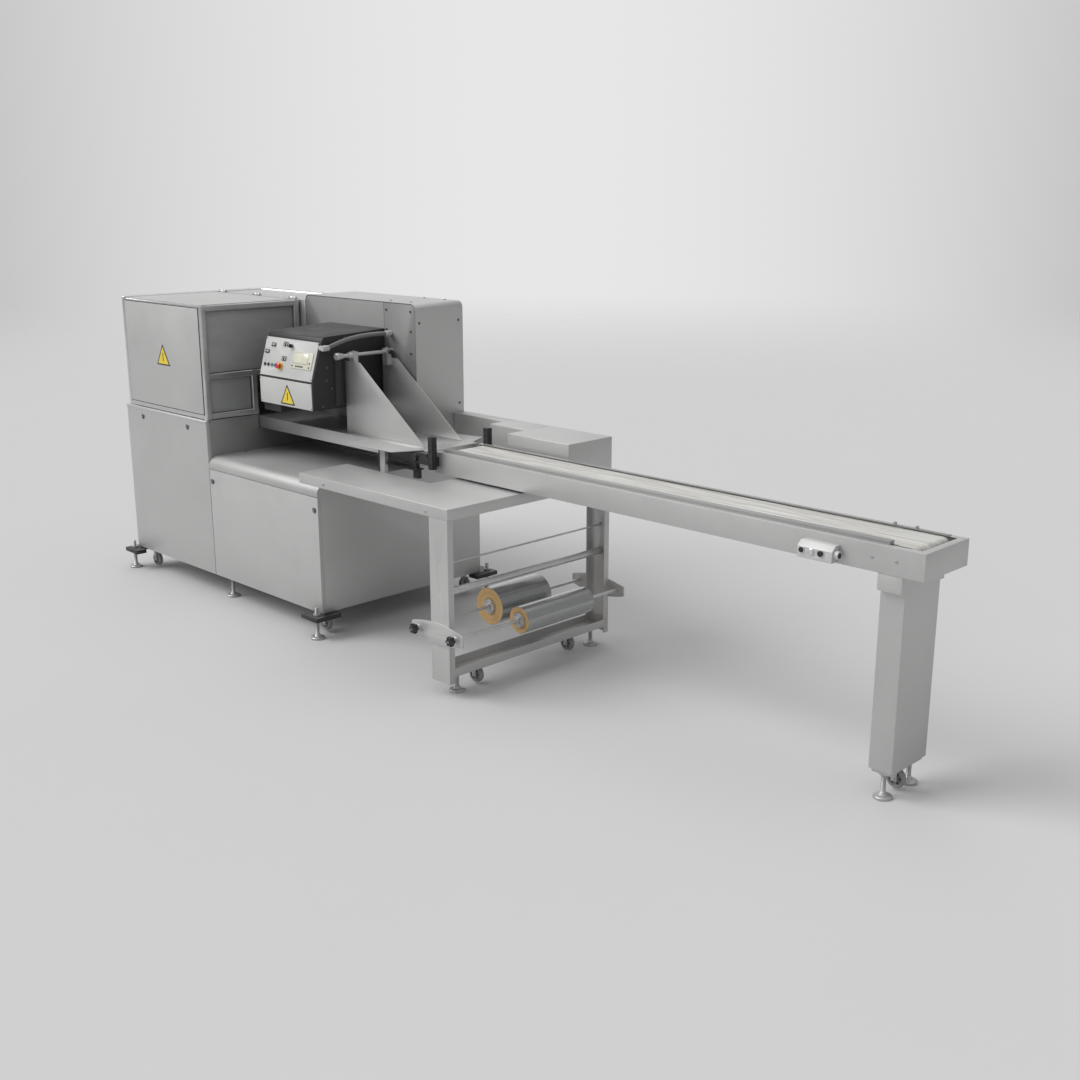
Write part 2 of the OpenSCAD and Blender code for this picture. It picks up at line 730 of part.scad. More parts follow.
module conveyor_frame() color("gainsboro") {
    difference() {
        block([conv_x0, conv_y0, conv_z0], [x_right, conv_y1, conveyor_top]);
        block([conv_x0 + sheet, conv_y0 + sheet, conv_z0 + sheet],
              [x_right - sheet, conv_y1 - sheet, conveyor_top - sheet]);
        block([conv_x0 - 1, conv_y0 + rim_front, belt_z - 65],
              [x_right - 28, conv_y1 - rim_rear, conveyor_top + 1]);
    }
    // bearing bosses of both rollers
    for (x = [drive_x, tail_x]) {
        roller_boss(x, conv_y0 + sheet - 0.01, conv_y0 + sheet + boss_l);
        roller_boss(x, conv_y1 - sheet - boss_l, conv_y1 - sheet + 0.01);
    }
    // cross members and the slider plate that carries the belt
    for (x = [drive_x + 150 : 380 : tail_x - 100]) {
        block([x, conv_y0 + sheet - 0.5, 862], [x + 40, conv_y1 - sheet + 0.5, 886]);
    }
    block([drive_x + 45, belt_y0 + 3, 886], [tail_x - 45, belt_y1 - 3, belt_z - belt_t - belt_gap]);
}

module roller_boss(x, y0, y1) difference() {
    rod_along_y(x, y0, y1, belt_axis_z, 15);
    rod_along_y(x, y0 - 1, y1 + 1, belt_axis_z, roller_pin_r + run_gap);
}

module belt_loop_outline(r) {
    for (x = [drive_x, tail_x]) translate([x, belt_axis_z]) circle(r);
    translate([drive_x, belt_axis_z - r]) square([tail_x - drive_x, 2 * r]);
}

module conveyor_belt() color("cornsilk") along_y(belt_y0, belt_y1) difference() {
    belt_loop_outline(belt_out_r);
    belt_loop_outline(belt_out_r - belt_t);
}

module belt_roller(x) {
    rod_along_y(x, belt_y0 - 2, belt_y1 + 2, belt_axis_z, belt_roller_r);
    rod_along_y(x, conv_y0 + sheet + 2, conv_y1 - sheet - 2, belt_axis_z, roller_pin_r);
}

module drive_roller() color("dimgray") belt_roller(drive_x);

module tail_roller() color("silver") belt_roller(tail_x);

module conveyor_guide_rails() color("silver") {
    block([conv_x0 + 30, conv_y0 + 24, conveyor_top], [2152, belt_y0 - 2, conveyor_top + 12]);
    block([conv_x0 + 30, belt_y1 + 3, conveyor_top], [x_right - 60, belt_y1 + 17, conveyor_top + 3]);
    for (x = [2028, 2112]) rod_along_z(x, belt_y1 + 8, conveyor_top + 2, conveyor_top + 12, 6);
}

module conveyor_leg() color("gainsboro") {
    difference() {
        block([leg_x0, leg_y0, leg_z0], [leg_x0 + leg_w, leg_y1, conv_z0]);
        block([leg_x0 + sheet, leg_y0 + sheet, leg_z0 - 1],
              [leg_x0 + leg_w - sheet, leg_y1 - sheet, conv_z0 + 1]);
    }
    // collars that carry the conveyor and the foot plate below
    block([leg_x0, leg_y0 - 26, conv_z0 - 60], [leg_x0 + leg_w, leg_y0, conv_z0]);
    block([leg_x0, leg_y1, conv_z0 - 60], [leg_x0 + leg_w, leg_y1 + 26, conv_z0]);
    block([leg_x0 + 8, leg_y0 + 8, leg_z0 - 12], [leg_x0 + leg_w - 8, leg_y1 - 8, leg_z0]);
}

module switch_box() color("whitesmoke") {
    difference() {
        along_x(switch_x0, switch_x1) polygon([
            [conv_y0, switch_z0], [conv_y0, switch_z1], [conv_y0 - 26, switch_z1],
            [switch_y0, switch_z1 - 18], [switch_y0, switch_z0]
        ]);
        rod_along_y(start_x, switch_y0 - 1, switch_y0 + 24, switch_z, start_r + part_gap);
        rod_along_y(stop_x, switch_y0 - 1, switch_y0 + 24, switch_z, stop_r + part_gap);
    }
    rod_along_y(lamp_x, switch_y0 - 5, switch_y0 + 1, switch_z, 8);
    // cable gland on its right side
    rod_along_x(switch_x1 - 1, switch_x1 + 16, conv_y0 - 24, switch_z, 15);
}

module start_button() color("black") translate([start_x, switch_y0, switch_z]) push_button(start_r, 6);

module stop_button() color("black") translate([stop_x, switch_y0, switch_z]) push_button(stop_r, 8);

// ---- film stand ----

module stand_frame() color("gainsboro") {
    // two channels, webs outwards
    for (rear = [false, true]) {
        web_y = rear ? post_y1 - sheet : post_y0;
        flange_y = rear ? post_y1 - post_depth : post_y0;
        difference() {
            union() {
                block([post_x0, web_y, post_z0], [post_x1, web_y + sheet, table_z0]);
                for (x = [post_x0, post_x1 - sheet])
                    block([x, flange_y, post_z0], [x + sheet, flange_y + post_depth, table_z0]);
            }
            rod_along_y(stand_x, web_y - 1, web_y + sheet + 1, roller_z, axle_r);
            rod_along_y(stand_x, web_y - 1, web_y + sheet + 1, tie_z, tie_r);
        }
    }
    // trough between the posts
    difference() {
        block([post_x0, post_y0 + post_depth, channel_z0], [post_x1, post_y1 - post_depth, channel_z1]);
        block([post_x0 + sheet, post_y0, channel_z0 + sheet], [post_x1 - sheet, post_y1, channel_z1 + 1]);
    }
    // floors of the two posts
    for (y = [post_y0 + sheet, post_y1 - post_depth - 0.01])
        block([post_x0 + sheet, y, channel_z0],
              [post_x1 - sheet, y + post_depth - sheet + 0.01, channel_z0 + sheet]);
}

module stand_shafts() color("silver") {
    rod_along_y(stand_x, post_y0, post_y1, tie_z, tie_r);
    rod_along_y(stand_x, post_y0, post_y1, roller_z, axle_r);
    for (x = [shaft_rear_x, shaft_front_x]) {
        rod_along_y(x, knob_y0 + 10, post_y1 + end_plate_t + 14, shaft_z, shaft_r);
        rod_along_y(x, post_y0 - end_plate_t - 8, post_y0 - end_plate_t, shaft_z, 15);
        // hand knob with six lobes
        difference() {
            rod_along_y(x, knob_y0, knob_y0 + 25, shaft_z, knob_r);
            for (a = [0 : 60 : 300])
                translate([x + (knob_r + 5) * cos(a), 0, shaft_z + (knob_r + 5) * sin(a)])
                    rod_along_y(0, knob_y0 - 1, knob_y0 + 22, 0, 8);
        }
        rod_along_y(x, post_y1 + end_plate_t, post_y1 + end_plate_t + 8, shaft_z, 13);
    }
}

module end_plate_outline() intersection() {
    translate([shaft_rear_x - 44, shaft_z - 45]) square([shaft_front_x - shaft_rear_x + 88, 90]);
    translate([(shaft_rear_x + shaft_front_x) / 2, shaft_z - 515]) circle(560, $fn = 180);
    translate([(shaft_rear_x + shaft_front_x) / 2, shaft_z + 515]) circle(560, $fn = 180);
}

module roll_end_plates() color("gainsboro")
    for (y = [post_y0 - end_plate_t, post_y1]) difference() {
        along_y(y, y + end_plate_t) end_plate_outline();
        for (x = [shaft_rear_x, shaft_front_x]) rod_along_y(x, y - 1, y + end_plate_t + 1, shaft_z, shaft_r);
    }

// film wound on a core, with a chuck flange and hub at both ends
module film_roll(x, y0, y1, r) difference() {
    union() {
        rod_along_y(x, y0, y1, shaft_z, r);
        rod_along_y(x, y0 - 6, y1 + 6, shaft_z, core_r - 3);
        rod_along_y(x, y0 - 16, y1 + 16, shaft_z, 14);
    }
    rod_along_y(x, y0 - 20, y1 + 20, shaft_z, shaft_r + run_gap);
}

module film_roll_rear() color("tan") film_roll(shaft_rear_x, -167, 133, roll_rear_r);

module film_roll_front() color("tan") film_roll(shaft_front_x, -209, 193, roll_front_r);

module guide_roller() color("silver") difference() {
    rod_along_y(stand_x, post_y0 + sheet + 2, post_y1 - sheet - 2, roller_z, guide_roller_r);
    rod_along_y(stand_x, post_y0, post_y1, roller_z, axle_r + run_gap);
}

module table_outline(s) polygon([
    [table_x0 + s, table_y0 + s], [post_x1 - s, table_y0 + s], [post_x1 - s, table_y1 - s],
    [table_arm_x0 + s, table_y1 - s], [table_arm_x0 + s, table_left_y1 - s], [table_x0 + s, table_left_y1 - s]
]);

module film_table() color("gainsboro") difference() {
    translate([0, 0, table_z0]) linear_extrude(table_z1 - table_z0) table_outline(0);
    translate([0, 0, table_z0 - 1]) linear_extrude(table_z1 - table_z0 + 1 - sheet) table_outline(sheet);
}

module cover_box(x0, x1, y0, z0) difference() {
    block([x0, y0, z0], [x1, table_y1, cover_z1]);
    block([x0 + sheet, y0 + sheet, z0 - 1], [x1 - sheet, table_y1 - sheet, cover_z1 - sheet]);
}

module rear_covers() color("gainsboro") {
    cover_box(base_x1 + 0.5, -188, 358, table_z1);
    cover_box(-187.5, 53, 269, table_z1);
    cover_box(53.5, 434, 151, table_z1);
}

// ---- visible fasteners ----

module panel_screws() color("gray") {
    for (x = [casing_seam_x + 18, base_x1 - 36], z = [1460, 1367, 1263, 1160, 1056])
        front_screw(x, casing_y0 + 1, z, 5);
    for (x = [casing_seam_x - 20, base_x1 - 100], y = [casing_y0 + 60, casing_y1 - 26])
        top_screw(x, y, machine_h, 5);
    for (y = [casing_y0 + 24, casing_y1 - 28], z = [1407, 1004]) right_screw(base_x1, y, z, 5);
    // quarter-turn fasteners of the two front panels
    for (x = [cab_x0 + 165, cab_x1 - 181]) front_screw(x, body_y0, cabinet_top - 50, 12, 5);
    for (x = [cab_x1 + 28, base_x1 - 27]) front_screw(x, body_y0, 604, 10, 5);
    top_screw(cab_x1 + 20, -263, base_top);
    for (x = [-375, 317]) front_screw(x, table_y0, 768, 7);
    for (x = [2103, 2193]) front_screw(x, conv_y0, 855, 6);
    for (spot = [[-218, 1210], [-223, 1151], [-194, 1112], [-249, 1030], [-112, 1340], [60, 1340]])
        right_screw(ctl_x1, spot.x, spot.y, 4);
}

// ---- inside the sealing chamber and the base ----

module jaw_frame() color("darkgray") {
    for (y = column_ys) {
        rod_along_z(jaw_x, y, rail_z1, beam_bottom + 1, column_r);
        block([cab_x0 + sheet, y - 20, rail_z0], [cab_x1 - sheet, y + 20, rail_z1]);
    }
    // top beam and the drive cylinder of the upper jaw
    difference() {
        union() {
            block([jaw_x - 40, column_ys[0] - 25, beam_bottom],
                  [jaw_x + 40, column_ys[1] + 25, beam_bottom + 31]);
            rod_along_z(jaw_x, piston_y, beam_bottom + 30, cylinder_top, 30);
        }
        rod_along_z(jaw_x, piston_y, beam_bottom - 9, cylinder_top - 15, piston_r + run_gap);
    }
    // product plates on both sides of the jaws
    plate_y0 = -bed_front + 12;
    plate_y1 = bed_y1 - 12;
    block([cab_x0, plate_y0, bed_top - 8], [jaw_x - jaw_w / 2 - 6, plate_y1, bed_top]);
    block([jaw_x + jaw_w / 2 + 6, plate_y0, bed_top - 8], [cab_x1 - 1, plate_y1, bed_top]);
    // their legs stand on brackets from the rails
    for (x = [cab_x0 + 120, jaw_x - 100, jaw_x + 70, cab_x1 - 110]) {
        block([x, plate_y1, rail_z1 - 1], [x + leg_bar, plate_y1 + 10, bed_top - 1]);
        block([x, plate_y0 - 10, rail_z1 - 1], [x + leg_bar, plate_y0, bed_top - 1]);
        block([x, plate_y1, rail_z1 - 8], [x + leg_bar, column_ys[1], rail_z1 + 2]);
        block([x, column_ys[0], rail_z1 - 8], [x + leg_bar, plate_y0, rail_z1 + 2]);
    }
}

module jaw_bar(z0) difference() {
    block([jaw_x - jaw_w / 2, jaw_y0, z0], [jaw_x + jaw_w / 2, jaw_y1, z0 + jaw_h]);
    for (y = column_ys) rod_along_z(jaw_x, y, z0 - 1, z0 + jaw_h + 1, column_r + run_gap);
}

module upper_jaw() color("silver") {
    jaw_bar(jaw_open_up);
    rod_along_z(jaw_x, piston_y, jaw_open_up + jaw_h - 1, 1305, piston_r);
}

module lower_jaw() color("silver") jaw_bar(jaw_open_low - jaw_h);

// gearbox on its foot, motor with its fan cowl, and the output shaft
module gearmotor() color("steelblue") {
    floor_z = body_clear + sheet;
    block([gearbox_x0, -90, floor_z], [gearbox_x1, 90, 330]);
    rod_along_x(gearbox_x1, motor_x1, 0, motor_z, motor_r);
    rod_along_x(motor_x1, motor_x1 + 30, 0, motor_z, motor_r - 9);
    rod_along_y((gearbox_x0 + gearbox_x1) / 2, 89, 180, 250, 20);
    block([motor_x1 - 60, -70, floor_z], [motor_x1 - 20, 70, 170]);
}

// ---- lifting hood ----

module hood_frame() color("silver") {
    w = hood_bar;
    x0 = hood_x0;
    x1 = hood_x1 - w;
    y0 = -hood_front;
    y1 = hood_rear - w;
    for (x = [x0, x1]) {
        bar_z(x, y0, hood_z0, hood_top, w);
        bar_y(x, y0, hood_rear, hood_top - w, w);
    }
    bar_z(x1, y1, hood_z0, hood_top, w);
    for (y = [y0, y1]) bar_x(x0, hood_x1, y, hood_top - w, w);
    bar_x(x0, hood_x1, y0, hood_z0, w);
    bar_y(x1, y0, window_y, hood_z0, w);
    bar_z(x1, window_y - w, hood_z0, mid_bar_z1, w);
    bar_y(x1, y0, hood_rear, mid_bar_z0 + 1, w);
    // moving halves of the hinges
    for (x = hinge_xs) difference() {
        union() {
            rod_along_x(x - hinge_knuckle / 2, x + hinge_knuckle / 2, hinge_y, hinge_z, hinge_r);
            block([x - hinge_knuckle / 2, hood_rear - 26, hood_top - 1],
                  [x + hinge_knuckle / 2, hinge_y, hinge_z - hinge_r + 3]);
        }
        rod_along_x(x - hinge_knuckle, x + hinge_knuckle, hinge_y, hinge_z, hinge_pin_r + run_gap);
    }
}

module hood_panels() color("lightgray") {
    g = hood_bar - 6;
    block([hood_x0 + 3, -hood_front - sheet, hood_z0 + g], [hood_x1 - 5, -hood_front, hood_top - 5]);
    block([hood_x0 + 5, -hood_front + 5, hood_top], [hood_x1 - 5, hood_rear - 30, hood_top + sheet]);
}

module hood_windows() color([0.35, 0.36, 0.38, 0.6]) {
    x0 = hood_x1 - hood_bar + 8;
    y0 = -hood_front + hood_bar - 2;
    block([x0, y0, mid_bar_z1 - 4], [x0 + 5, hood_rear - hood_bar + 2, hood_top - hood_bar + 2]);
    block([x0, y0, hood_z0 + hood_bar - 2], [x0 + 5, window_y - hood_bar + 2, mid_bar_z0 + 3]);
}

cabinet_shell();
base_shell();
base_top_cover();
front_panels();
upper_housing();
hood_rails();
levelling_feet();
corner_plates();
casing_wrap();
casing_panels();
infeed_bed();
bed_wings();
guide_rod();
control_box();
control_panels();
operator_display();
conduit();
bed_cable();
transfer_brackets();
conveyor_frame();
conveyor_belt();
conveyor_guide_rails();
conveyor_leg();
switch_box();
stand_frame();
stand_shafts();
roll_end_plates();
film_table();
rear_covers();
panel_screws();
jaw_frame();
gearmotor();
caster_forks();
hood_frame();
hood_panels();
hood_windows();
guide_plate_front();
guide_plate_rear();
upper_jaw();
lower_jaw();
film_roll_rear();
film_roll_front();
guide_roller();
drive_roller();
tail_roller();
emergency_stop();
selector_knob();
panel_button(1);  // panel_button_1
panel_button(2);  // panel_button_2
panel_button(3);  // panel_button_3
panel_button(4);  // panel_button_4
start_button();
stop_button();
caster_wheel(1);  // caster_wheel_1
caster_wheel(2);  // caster_wheel_2
caster_wheel(3);  // caster_wheel_3
caster_wheel(4);  // caster_wheel_4
caster_wheel(5);  // caster_wheel_5
caster_wheel(6);  // caster_wheel_6
caster_wheel(7);  // caster_wheel_7
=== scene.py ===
"""Looks of a form, fill and seal wrapping machine, in metres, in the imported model's frame."""
import math

import bpy
from mathutils import Matrix, Vector


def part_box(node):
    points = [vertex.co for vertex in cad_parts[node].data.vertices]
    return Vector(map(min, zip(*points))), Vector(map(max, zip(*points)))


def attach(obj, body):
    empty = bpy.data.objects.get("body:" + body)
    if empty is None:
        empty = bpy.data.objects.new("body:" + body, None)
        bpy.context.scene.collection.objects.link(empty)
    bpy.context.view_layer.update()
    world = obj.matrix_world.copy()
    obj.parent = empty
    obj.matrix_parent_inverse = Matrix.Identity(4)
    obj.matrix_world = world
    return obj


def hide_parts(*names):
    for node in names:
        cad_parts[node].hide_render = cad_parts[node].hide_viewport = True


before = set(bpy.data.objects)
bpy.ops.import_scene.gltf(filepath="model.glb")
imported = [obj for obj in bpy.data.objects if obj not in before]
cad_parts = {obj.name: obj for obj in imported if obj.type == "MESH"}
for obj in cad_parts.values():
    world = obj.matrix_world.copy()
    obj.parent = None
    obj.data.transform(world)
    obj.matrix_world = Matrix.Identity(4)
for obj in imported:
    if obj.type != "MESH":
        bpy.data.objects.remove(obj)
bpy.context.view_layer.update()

# ---- places and sizes that the pieces share ----

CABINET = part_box("cabinet_shell")
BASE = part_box("base_shell")
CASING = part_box("casing_wrap")
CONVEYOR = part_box("conveyor_frame")
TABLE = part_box("film_table")
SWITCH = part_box("switch_box")
END_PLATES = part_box("roll_end_plates")

PANEL_FOOT = Vector((0, -0.302, 1.147))      # lower edge of the sloping control panel
PANEL_LEAN = math.atan2(0.055, 0.182)        # angle by which it leans back
PANEL_SHEET = 0.003                          # thickness of its sheet
CONTROL_RIGHT = -0.779                       # right wall of the control box
ROD_X, ROD_Z = -0.720, 1.266                 # axis of the side guides' cross rod
SHAFT_Z = 0.269                              # height of both roll shafts
KNOB_Y = -0.606                              # front of the shafts' hand knobs
ROLLS = {"rear": (0.269, 0.083), "front": (0.497, 0.058)}    # X of each shaft, radius of its roll
STAND_X = 0.398                              # middle of the film stand
LEG_X = 2.172                                # middle of the conveyor's leg
SWITCH_Z = 0.842                             # height of the switch box's buttons
CAMERA_AT = (4.234, -3.823, 2.010)
GLOW_PEAK, GLOW_FALL, GLOW_EDGE = 0.80, 3.2, 0.36            # brightest, how fast it falls, darkest
FLOOR_FADE = (7.5, 22.0)                     # where the floor starts to fade, and where it is gone
CASTERS = [                                  # X and Y of each wheel
    (-2.165, -0.410), (-0.600, -0.410), (-2.165, 0.461), (-0.600, 0.461),
    (STAND_X, -0.364), (STAND_X, 0.188), (LEG_X, -0.016),
]


# ---- finishes ----

class Link:
    """An output of a node. Sums and products of links add Math nodes beside it."""

    def __init__(self, board, socket):
        self.board = board
        self.socket = socket

    def __add__(self, other):
        return self.board.math("ADD", self, other)

    def __radd__(self, other):
        return self.board.math("ADD", other, self)

    def __sub__(self, other):
        return self.board.math("SUBTRACT", self, other)

    def __rsub__(self, other):
        return self.board.math("SUBTRACT", other, self)

    def __mul__(self, other):
        return self.board.math("MULTIPLY", self, other)

    def __rmul__(self, other):
        return self.board.math("MULTIPLY", other, self)

    def __abs__(self):
        return self.board.math("ABSOLUTE", self)

    def ramp(self, low, high):
        """0 below low, 1 above high, smooth between them."""
        sockets = {0: self, 1: low, 2: high, 3: 0.0, 4: 1.0}
        return self.board.node("ShaderNodeMapRange", {"interpolation_type": "SMOOTHSTEP"}, sockets)


class Board:
    """A node tree that nodes are added to."""

    def __init__(self, tree):
        self.tree = tree

    def node(self, kind, settings=None, sockets=None, out=0):
        """Adds a node: its settings first, then the values or links of its sockets."""
        made = self.tree.nodes.new(kind)
        for key, value in (settings or {}).items():
            setattr(made, key, value)
        for key, value in (sockets or {}).items():
            if isinstance(value, Link):
                self.tree.links.new(value.socket, made.inputs[key])
            else:
                made.inputs[key].default_value = value
        return Link(self, made.outputs[out])

    def math(self, operation, *values):
        return self.node("ShaderNodeMath", {"operation": operation}, dict(enumerate(values)))

    def vector(self, operation, *values, out="Vector"):
        return self.node("ShaderNodeVectorMath", {"operation": operation}, dict(enumerate(values)), out)

    def glow(self, direction):
        """Brightness of the lit backdrop in a direction: brightest behind the machine."""
        unit = self.vector("NORMALIZE", self.vector("MULTIPLY", direction, (1, 1, 0)))
        middle = (-math.sqrt(0.5), math.sqrt(0.5), 0)
        turn = self.vector("DOT_PRODUCT", unit, middle, out="Value")
        return self.math("MAXIMUM", turn * GLOW_FALL + (GLOW_PEAK - GLOW_FALL), GLOW_EDGE)


class Finish(Board):
    """One material. Keywords are constants of its shader's sockets, with _ for a space."""

    def __init__(self, name, **constants):
        self.material = bpy.data.materials.new(name)
        self.material.use_nodes = True
        super().__init__(self.material.node_tree)
        self.shader = self.material.node_tree.nodes["Principled BSDF"]
        for socket, value in constants.items():
            self.shader.inputs[socket.replace("_", " ")].default_value = value
        self.place = self.node("ShaderNodeTexCoord", out="Object")

    def noise(self, scale, stretch=(1, 1, 1), detail=3, roughness=0.55, shift=(0, 0, 0)):
        sockets = {"Vector": self.place, "Scale": stretch, "Location": shift}
        spot = self.node("ShaderNodeMapping", {}, sockets)
        sockets = {"Vector": spot, "Scale": scale, "Detail": detail, "Roughness": roughness}
        return self.node("ShaderNodeTexNoise", {}, sockets)

    def cells(self, scale, out="Distance"):
        return self.node("ShaderNodeTexVoronoi", {}, {"Vector": self.place, "Scale": scale}, out)

    def along(self, axis):
        return self.node("ShaderNodeSeparateXYZ", {}, {0: self.place}, out=axis)

    def facing(self, axis):
        """How squarely the surface faces along an axis, either way."""
        normal = self.node("ShaderNodeNewGeometry", out="Normal")
        return abs(self.node("ShaderNodeSeparateXYZ", {}, {0: normal}, out=axis))

    def mix(self, mask, low, high):
        """Colour low where the mask is 0 and high where it is 1."""
        sockets = {0: mask, 6: low, 7: high}
        return self.node("ShaderNodeMix", {"data_type": "RGBA", "clamp_factor": True}, sockets, out=2)

    def shade(self, colour, amount):
        """The colour, made lighter or darker by an amount about 1."""
        level = self.node("ShaderNodeCombineXYZ", {}, {0: amount, 1: amount, 2: amount})
        return self.vector("MULTIPLY", colour if isinstance(colour, Link) else colour[:3], level)

    def bumps(self, height, strength, distance):
        sockets = {"Height": height, "Strength": strength, "Distance": distance}
        return self.node("ShaderNodeBump", {}, sockets)

    def wear(self, **links):
        """Connects what changes over the surface to the shader."""
        for socket, link in links.items():
            self.tree.links.new(link.socket, self.shader.inputs[socket.replace("_", " ")])
        return self.material


def grey(value, warm=0.0):
    return (value * (1 + warm), value, value * (1 - warm), 1)


def satin_steel(name, tone, rough=0.46, metallic=0.55, grain=(0.012, 0.012, 1)):
    """Brushed sheet with a long fine grain, cloudy handling marks, specks and faint scratches, and painted
    shade near the floor.
    """
    steel = Finish(name, Metallic=metallic)
    flat = steel.facing("Z").ramp(0.6, 0.85)
    wall_grain = steel.noise(420, stretch=grain, detail=5, roughness=0.7)
    top_grain = steel.noise(420, stretch=(0.012, 1, 0.012), detail=5, roughness=0.7)
    lines = wall_grain * (1 - flat) + top_grain * flat
    clouds = steel.noise(2.6, detail=5, roughness=0.62)
    patches = steel.noise(9, stretch=(1, 1, 0.5), detail=4, shift=(3, 1, 7))
    scratches = steel.noise(34, stretch=(0.06, 0.06, 1.4), detail=8, roughness=0.8, shift=(1, 5, 2))
    scratches = scratches.ramp(0.69, 0.74)
    specks = 1 - steel.cells(46).ramp(0.02, 0.06)
    # painted shade: the steel is darkened within 0.3 m of the floor
    foot = 1 - steel.along("Z").ramp(0.0, 0.30)
    amount = (
        0.955 + (clouds - 0.5) * 0.16 + (patches - 0.5) * 0.07 + (lines - 0.5) * 0.13
        + scratches * 0.05 - specks * patches.ramp(0.56, 0.62) * 0.16 - foot * 0.07
    )
    base = steel.shade(grey(tone, 0.006), amount)
    roughness = (
        rough + (clouds - 0.5) * 0.16 + (patches - 0.5) * 0.14 + (lines - 0.5) * 0.10
        - scratches * 0.06
    )
    height = lines * 0.6 + scratches * -0.6 + patches * 0.2
    normal = steel.bumps(height, 0.16, 0.0006)
    return steel.wear(Base_Color=base, Roughness=roughness, Normal=normal)


def bare_metal(name, tone, rough, grain, metallic=1.0, warm=0.0):
    """Machined or drawn metal: turning or drawing lines, slight tarnish, oily smudges."""
    metal = Finish(name, Metallic=metallic)
    lines = metal.noise(700, stretch=grain, detail=3)
    tarnish = metal.noise(14, detail=5, roughness=0.65)
    smudges = metal.noise(55, detail=3, shift=(4, 4, 4)).ramp(0.52, 0.7)
    amount = 0.93 + (tarnish - 0.5) * 0.3 + (lines - 0.5) * 0.14 - smudges * 0.06
    roughness = rough + (tarnish - 0.5) * 0.2 + smudges * 0.08 + (lines - 0.5) * 0.08
    normal = metal.bumps(lines, 0.10, 0.0004)
    base = metal.shade(grey(tone, warm), amount)
    return metal.wear(Base_Color=base, Roughness=roughness, Normal=normal)


def zinc_plate(name, tone):
    """Bright zinc: crystal facets of slightly different tone, white bloom in the lower parts."""
    zinc = Finish(name, Metallic=0.75)
    facets = zinc.noise(90, detail=1)
    crystals = zinc.node("ShaderNodeSeparateColor", {}, {0: zinc.cells(130, out="Color")})
    low_down = 1 - zinc.along("Z").ramp(0.02, 0.2)
    bloom = zinc.noise(22, detail=6, roughness=0.7).ramp(0.5, 0.72) * low_down
    amount = 0.86 + (crystals - 0.5) * 0.16 + (facets - 0.5) * 0.18 + bloom * 0.1
    roughness = 0.42 + (crystals - 0.5) * 0.12 + bloom * 0.25
    normal = zinc.bumps(crystals, 0.08, 0.0004)
    base = zinc.shade(grey(tone), amount)
    return zinc.wear(Base_Color=base, Roughness=roughness, Normal=normal)


def paint(name, colour, rough, pebble=260, worn=None, dust=0.10, coat=0.0):
    """Sprayed paint: pebbled skin, dust on what faces up, rubbed patches that show the metal."""
    sprayed = Finish(name, Coat_Weight=coat, Coat_Roughness=0.2)
    skin = sprayed.noise(pebble, detail=2, roughness=0.5)
    clouds = sprayed.noise(5, detail=5, roughness=0.6)
    rubbed = sprayed.noise(30, detail=7, roughness=0.75, shift=(2, 6, 1)).ramp(0.66, 0.72)
    settled = sprayed.noise(12, detail=4, shift=(9, 3, 1)).ramp(0.3, 0.75)
    lying = sprayed.facing("Z").ramp(0.7, 0.95) * settled
    amount = 0.95 + (clouds - 0.5) * 0.24 + (skin - 0.5) * 0.12
    base = sprayed.mix(rubbed, sprayed.shade(colour, amount), worn or colour)
    base = sprayed.mix(lying * dust, base, (0.62, 0.61, 0.58, 1))
    roughness = rough + (skin - 0.5) * 0.1 + (clouds - 0.5) * 0.14 - rubbed * 0.1 + lying * 0.15
    normal = sprayed.bumps(skin * 0.8 - rubbed * 0.5, 0.22, 0.0007)
    return sprayed.wear(Base_Color=base, Roughness=roughness, Normal=normal)


def moulded(name, colour, rough, grain=900, coat=0.0, fade=0.12):
    """Moulded plastic: fine spark-eroded grain, gloss where fingers touch, slightly uneven tint."""
    plastic = Finish(name, Coat_Weight=coat, Coat_Roughness=0.12)
    skin = plastic.noise(grain, detail=2)
    tint = plastic.noise(24, detail=4, roughness=0.6)
    touched = plastic.noise(70, detail=3, shift=(7, 2, 5)).ramp(0.5, 0.66)
    amount = 0.95 + (tint - 0.5) * fade * 2 + (skin - 0.5) * 0.06
    roughness = rough + (skin - 0.5) * 0.12 - touched * 0.1
    normal = plastic.bumps(skin, 0.12, 0.0003)
    base = plastic.shade(colour, amount)
    return plastic.wear(Base_Color=base, Roughness=roughness, Normal=normal)


def belt_cloth():
    """Woven belt with a cream top coat: long rubbed streaks along the run over a fine weave."""
    belt = Finish("belt_cloth")
    streaks = belt.noise(48, stretch=(0.06, 1, 1), detail=7, roughness=0.70)
    broad = belt.noise(9, stretch=(0.05, 1, 1), detail=4, shift=(2, 8, 1))
    grime = belt.noise(60, stretch=(0.03, 1, 1), detail=4, roughness=0.7, shift=(5, 3, 2))
    grime = grime.ramp(0.52, 0.70)
    pitch = 2600                             # threads' angle in a metre: one every 2.4 mm
    threads = belt.math("SINE", belt.along("X") * pitch) * 0.5 + 0.5
    wefts = belt.math("SINE", belt.along("Y") * pitch) * 0.5 + 0.5
    weave = threads * wefts
    base = belt.mix(streaks.ramp(0.34, 0.66), (0.47, 0.46, 0.43, 1), (0.74, 0.738, 0.715, 1))
    base = belt.mix(grime * 0.35, base, (0.40, 0.36, 0.27, 1))
    base = belt.shade(base, 0.94 + (broad - 0.5) * 0.3 + (weave - 0.5) * 0.04)
    normal = belt.bumps(weave * 0.5 + streaks, 0.25, 0.0008)
    roughness = 0.62 - (streaks - 0.5) * 0.3 + grime * 0.1
    return belt.wear(Base_Color=base, Roughness=roughness, Normal=normal)


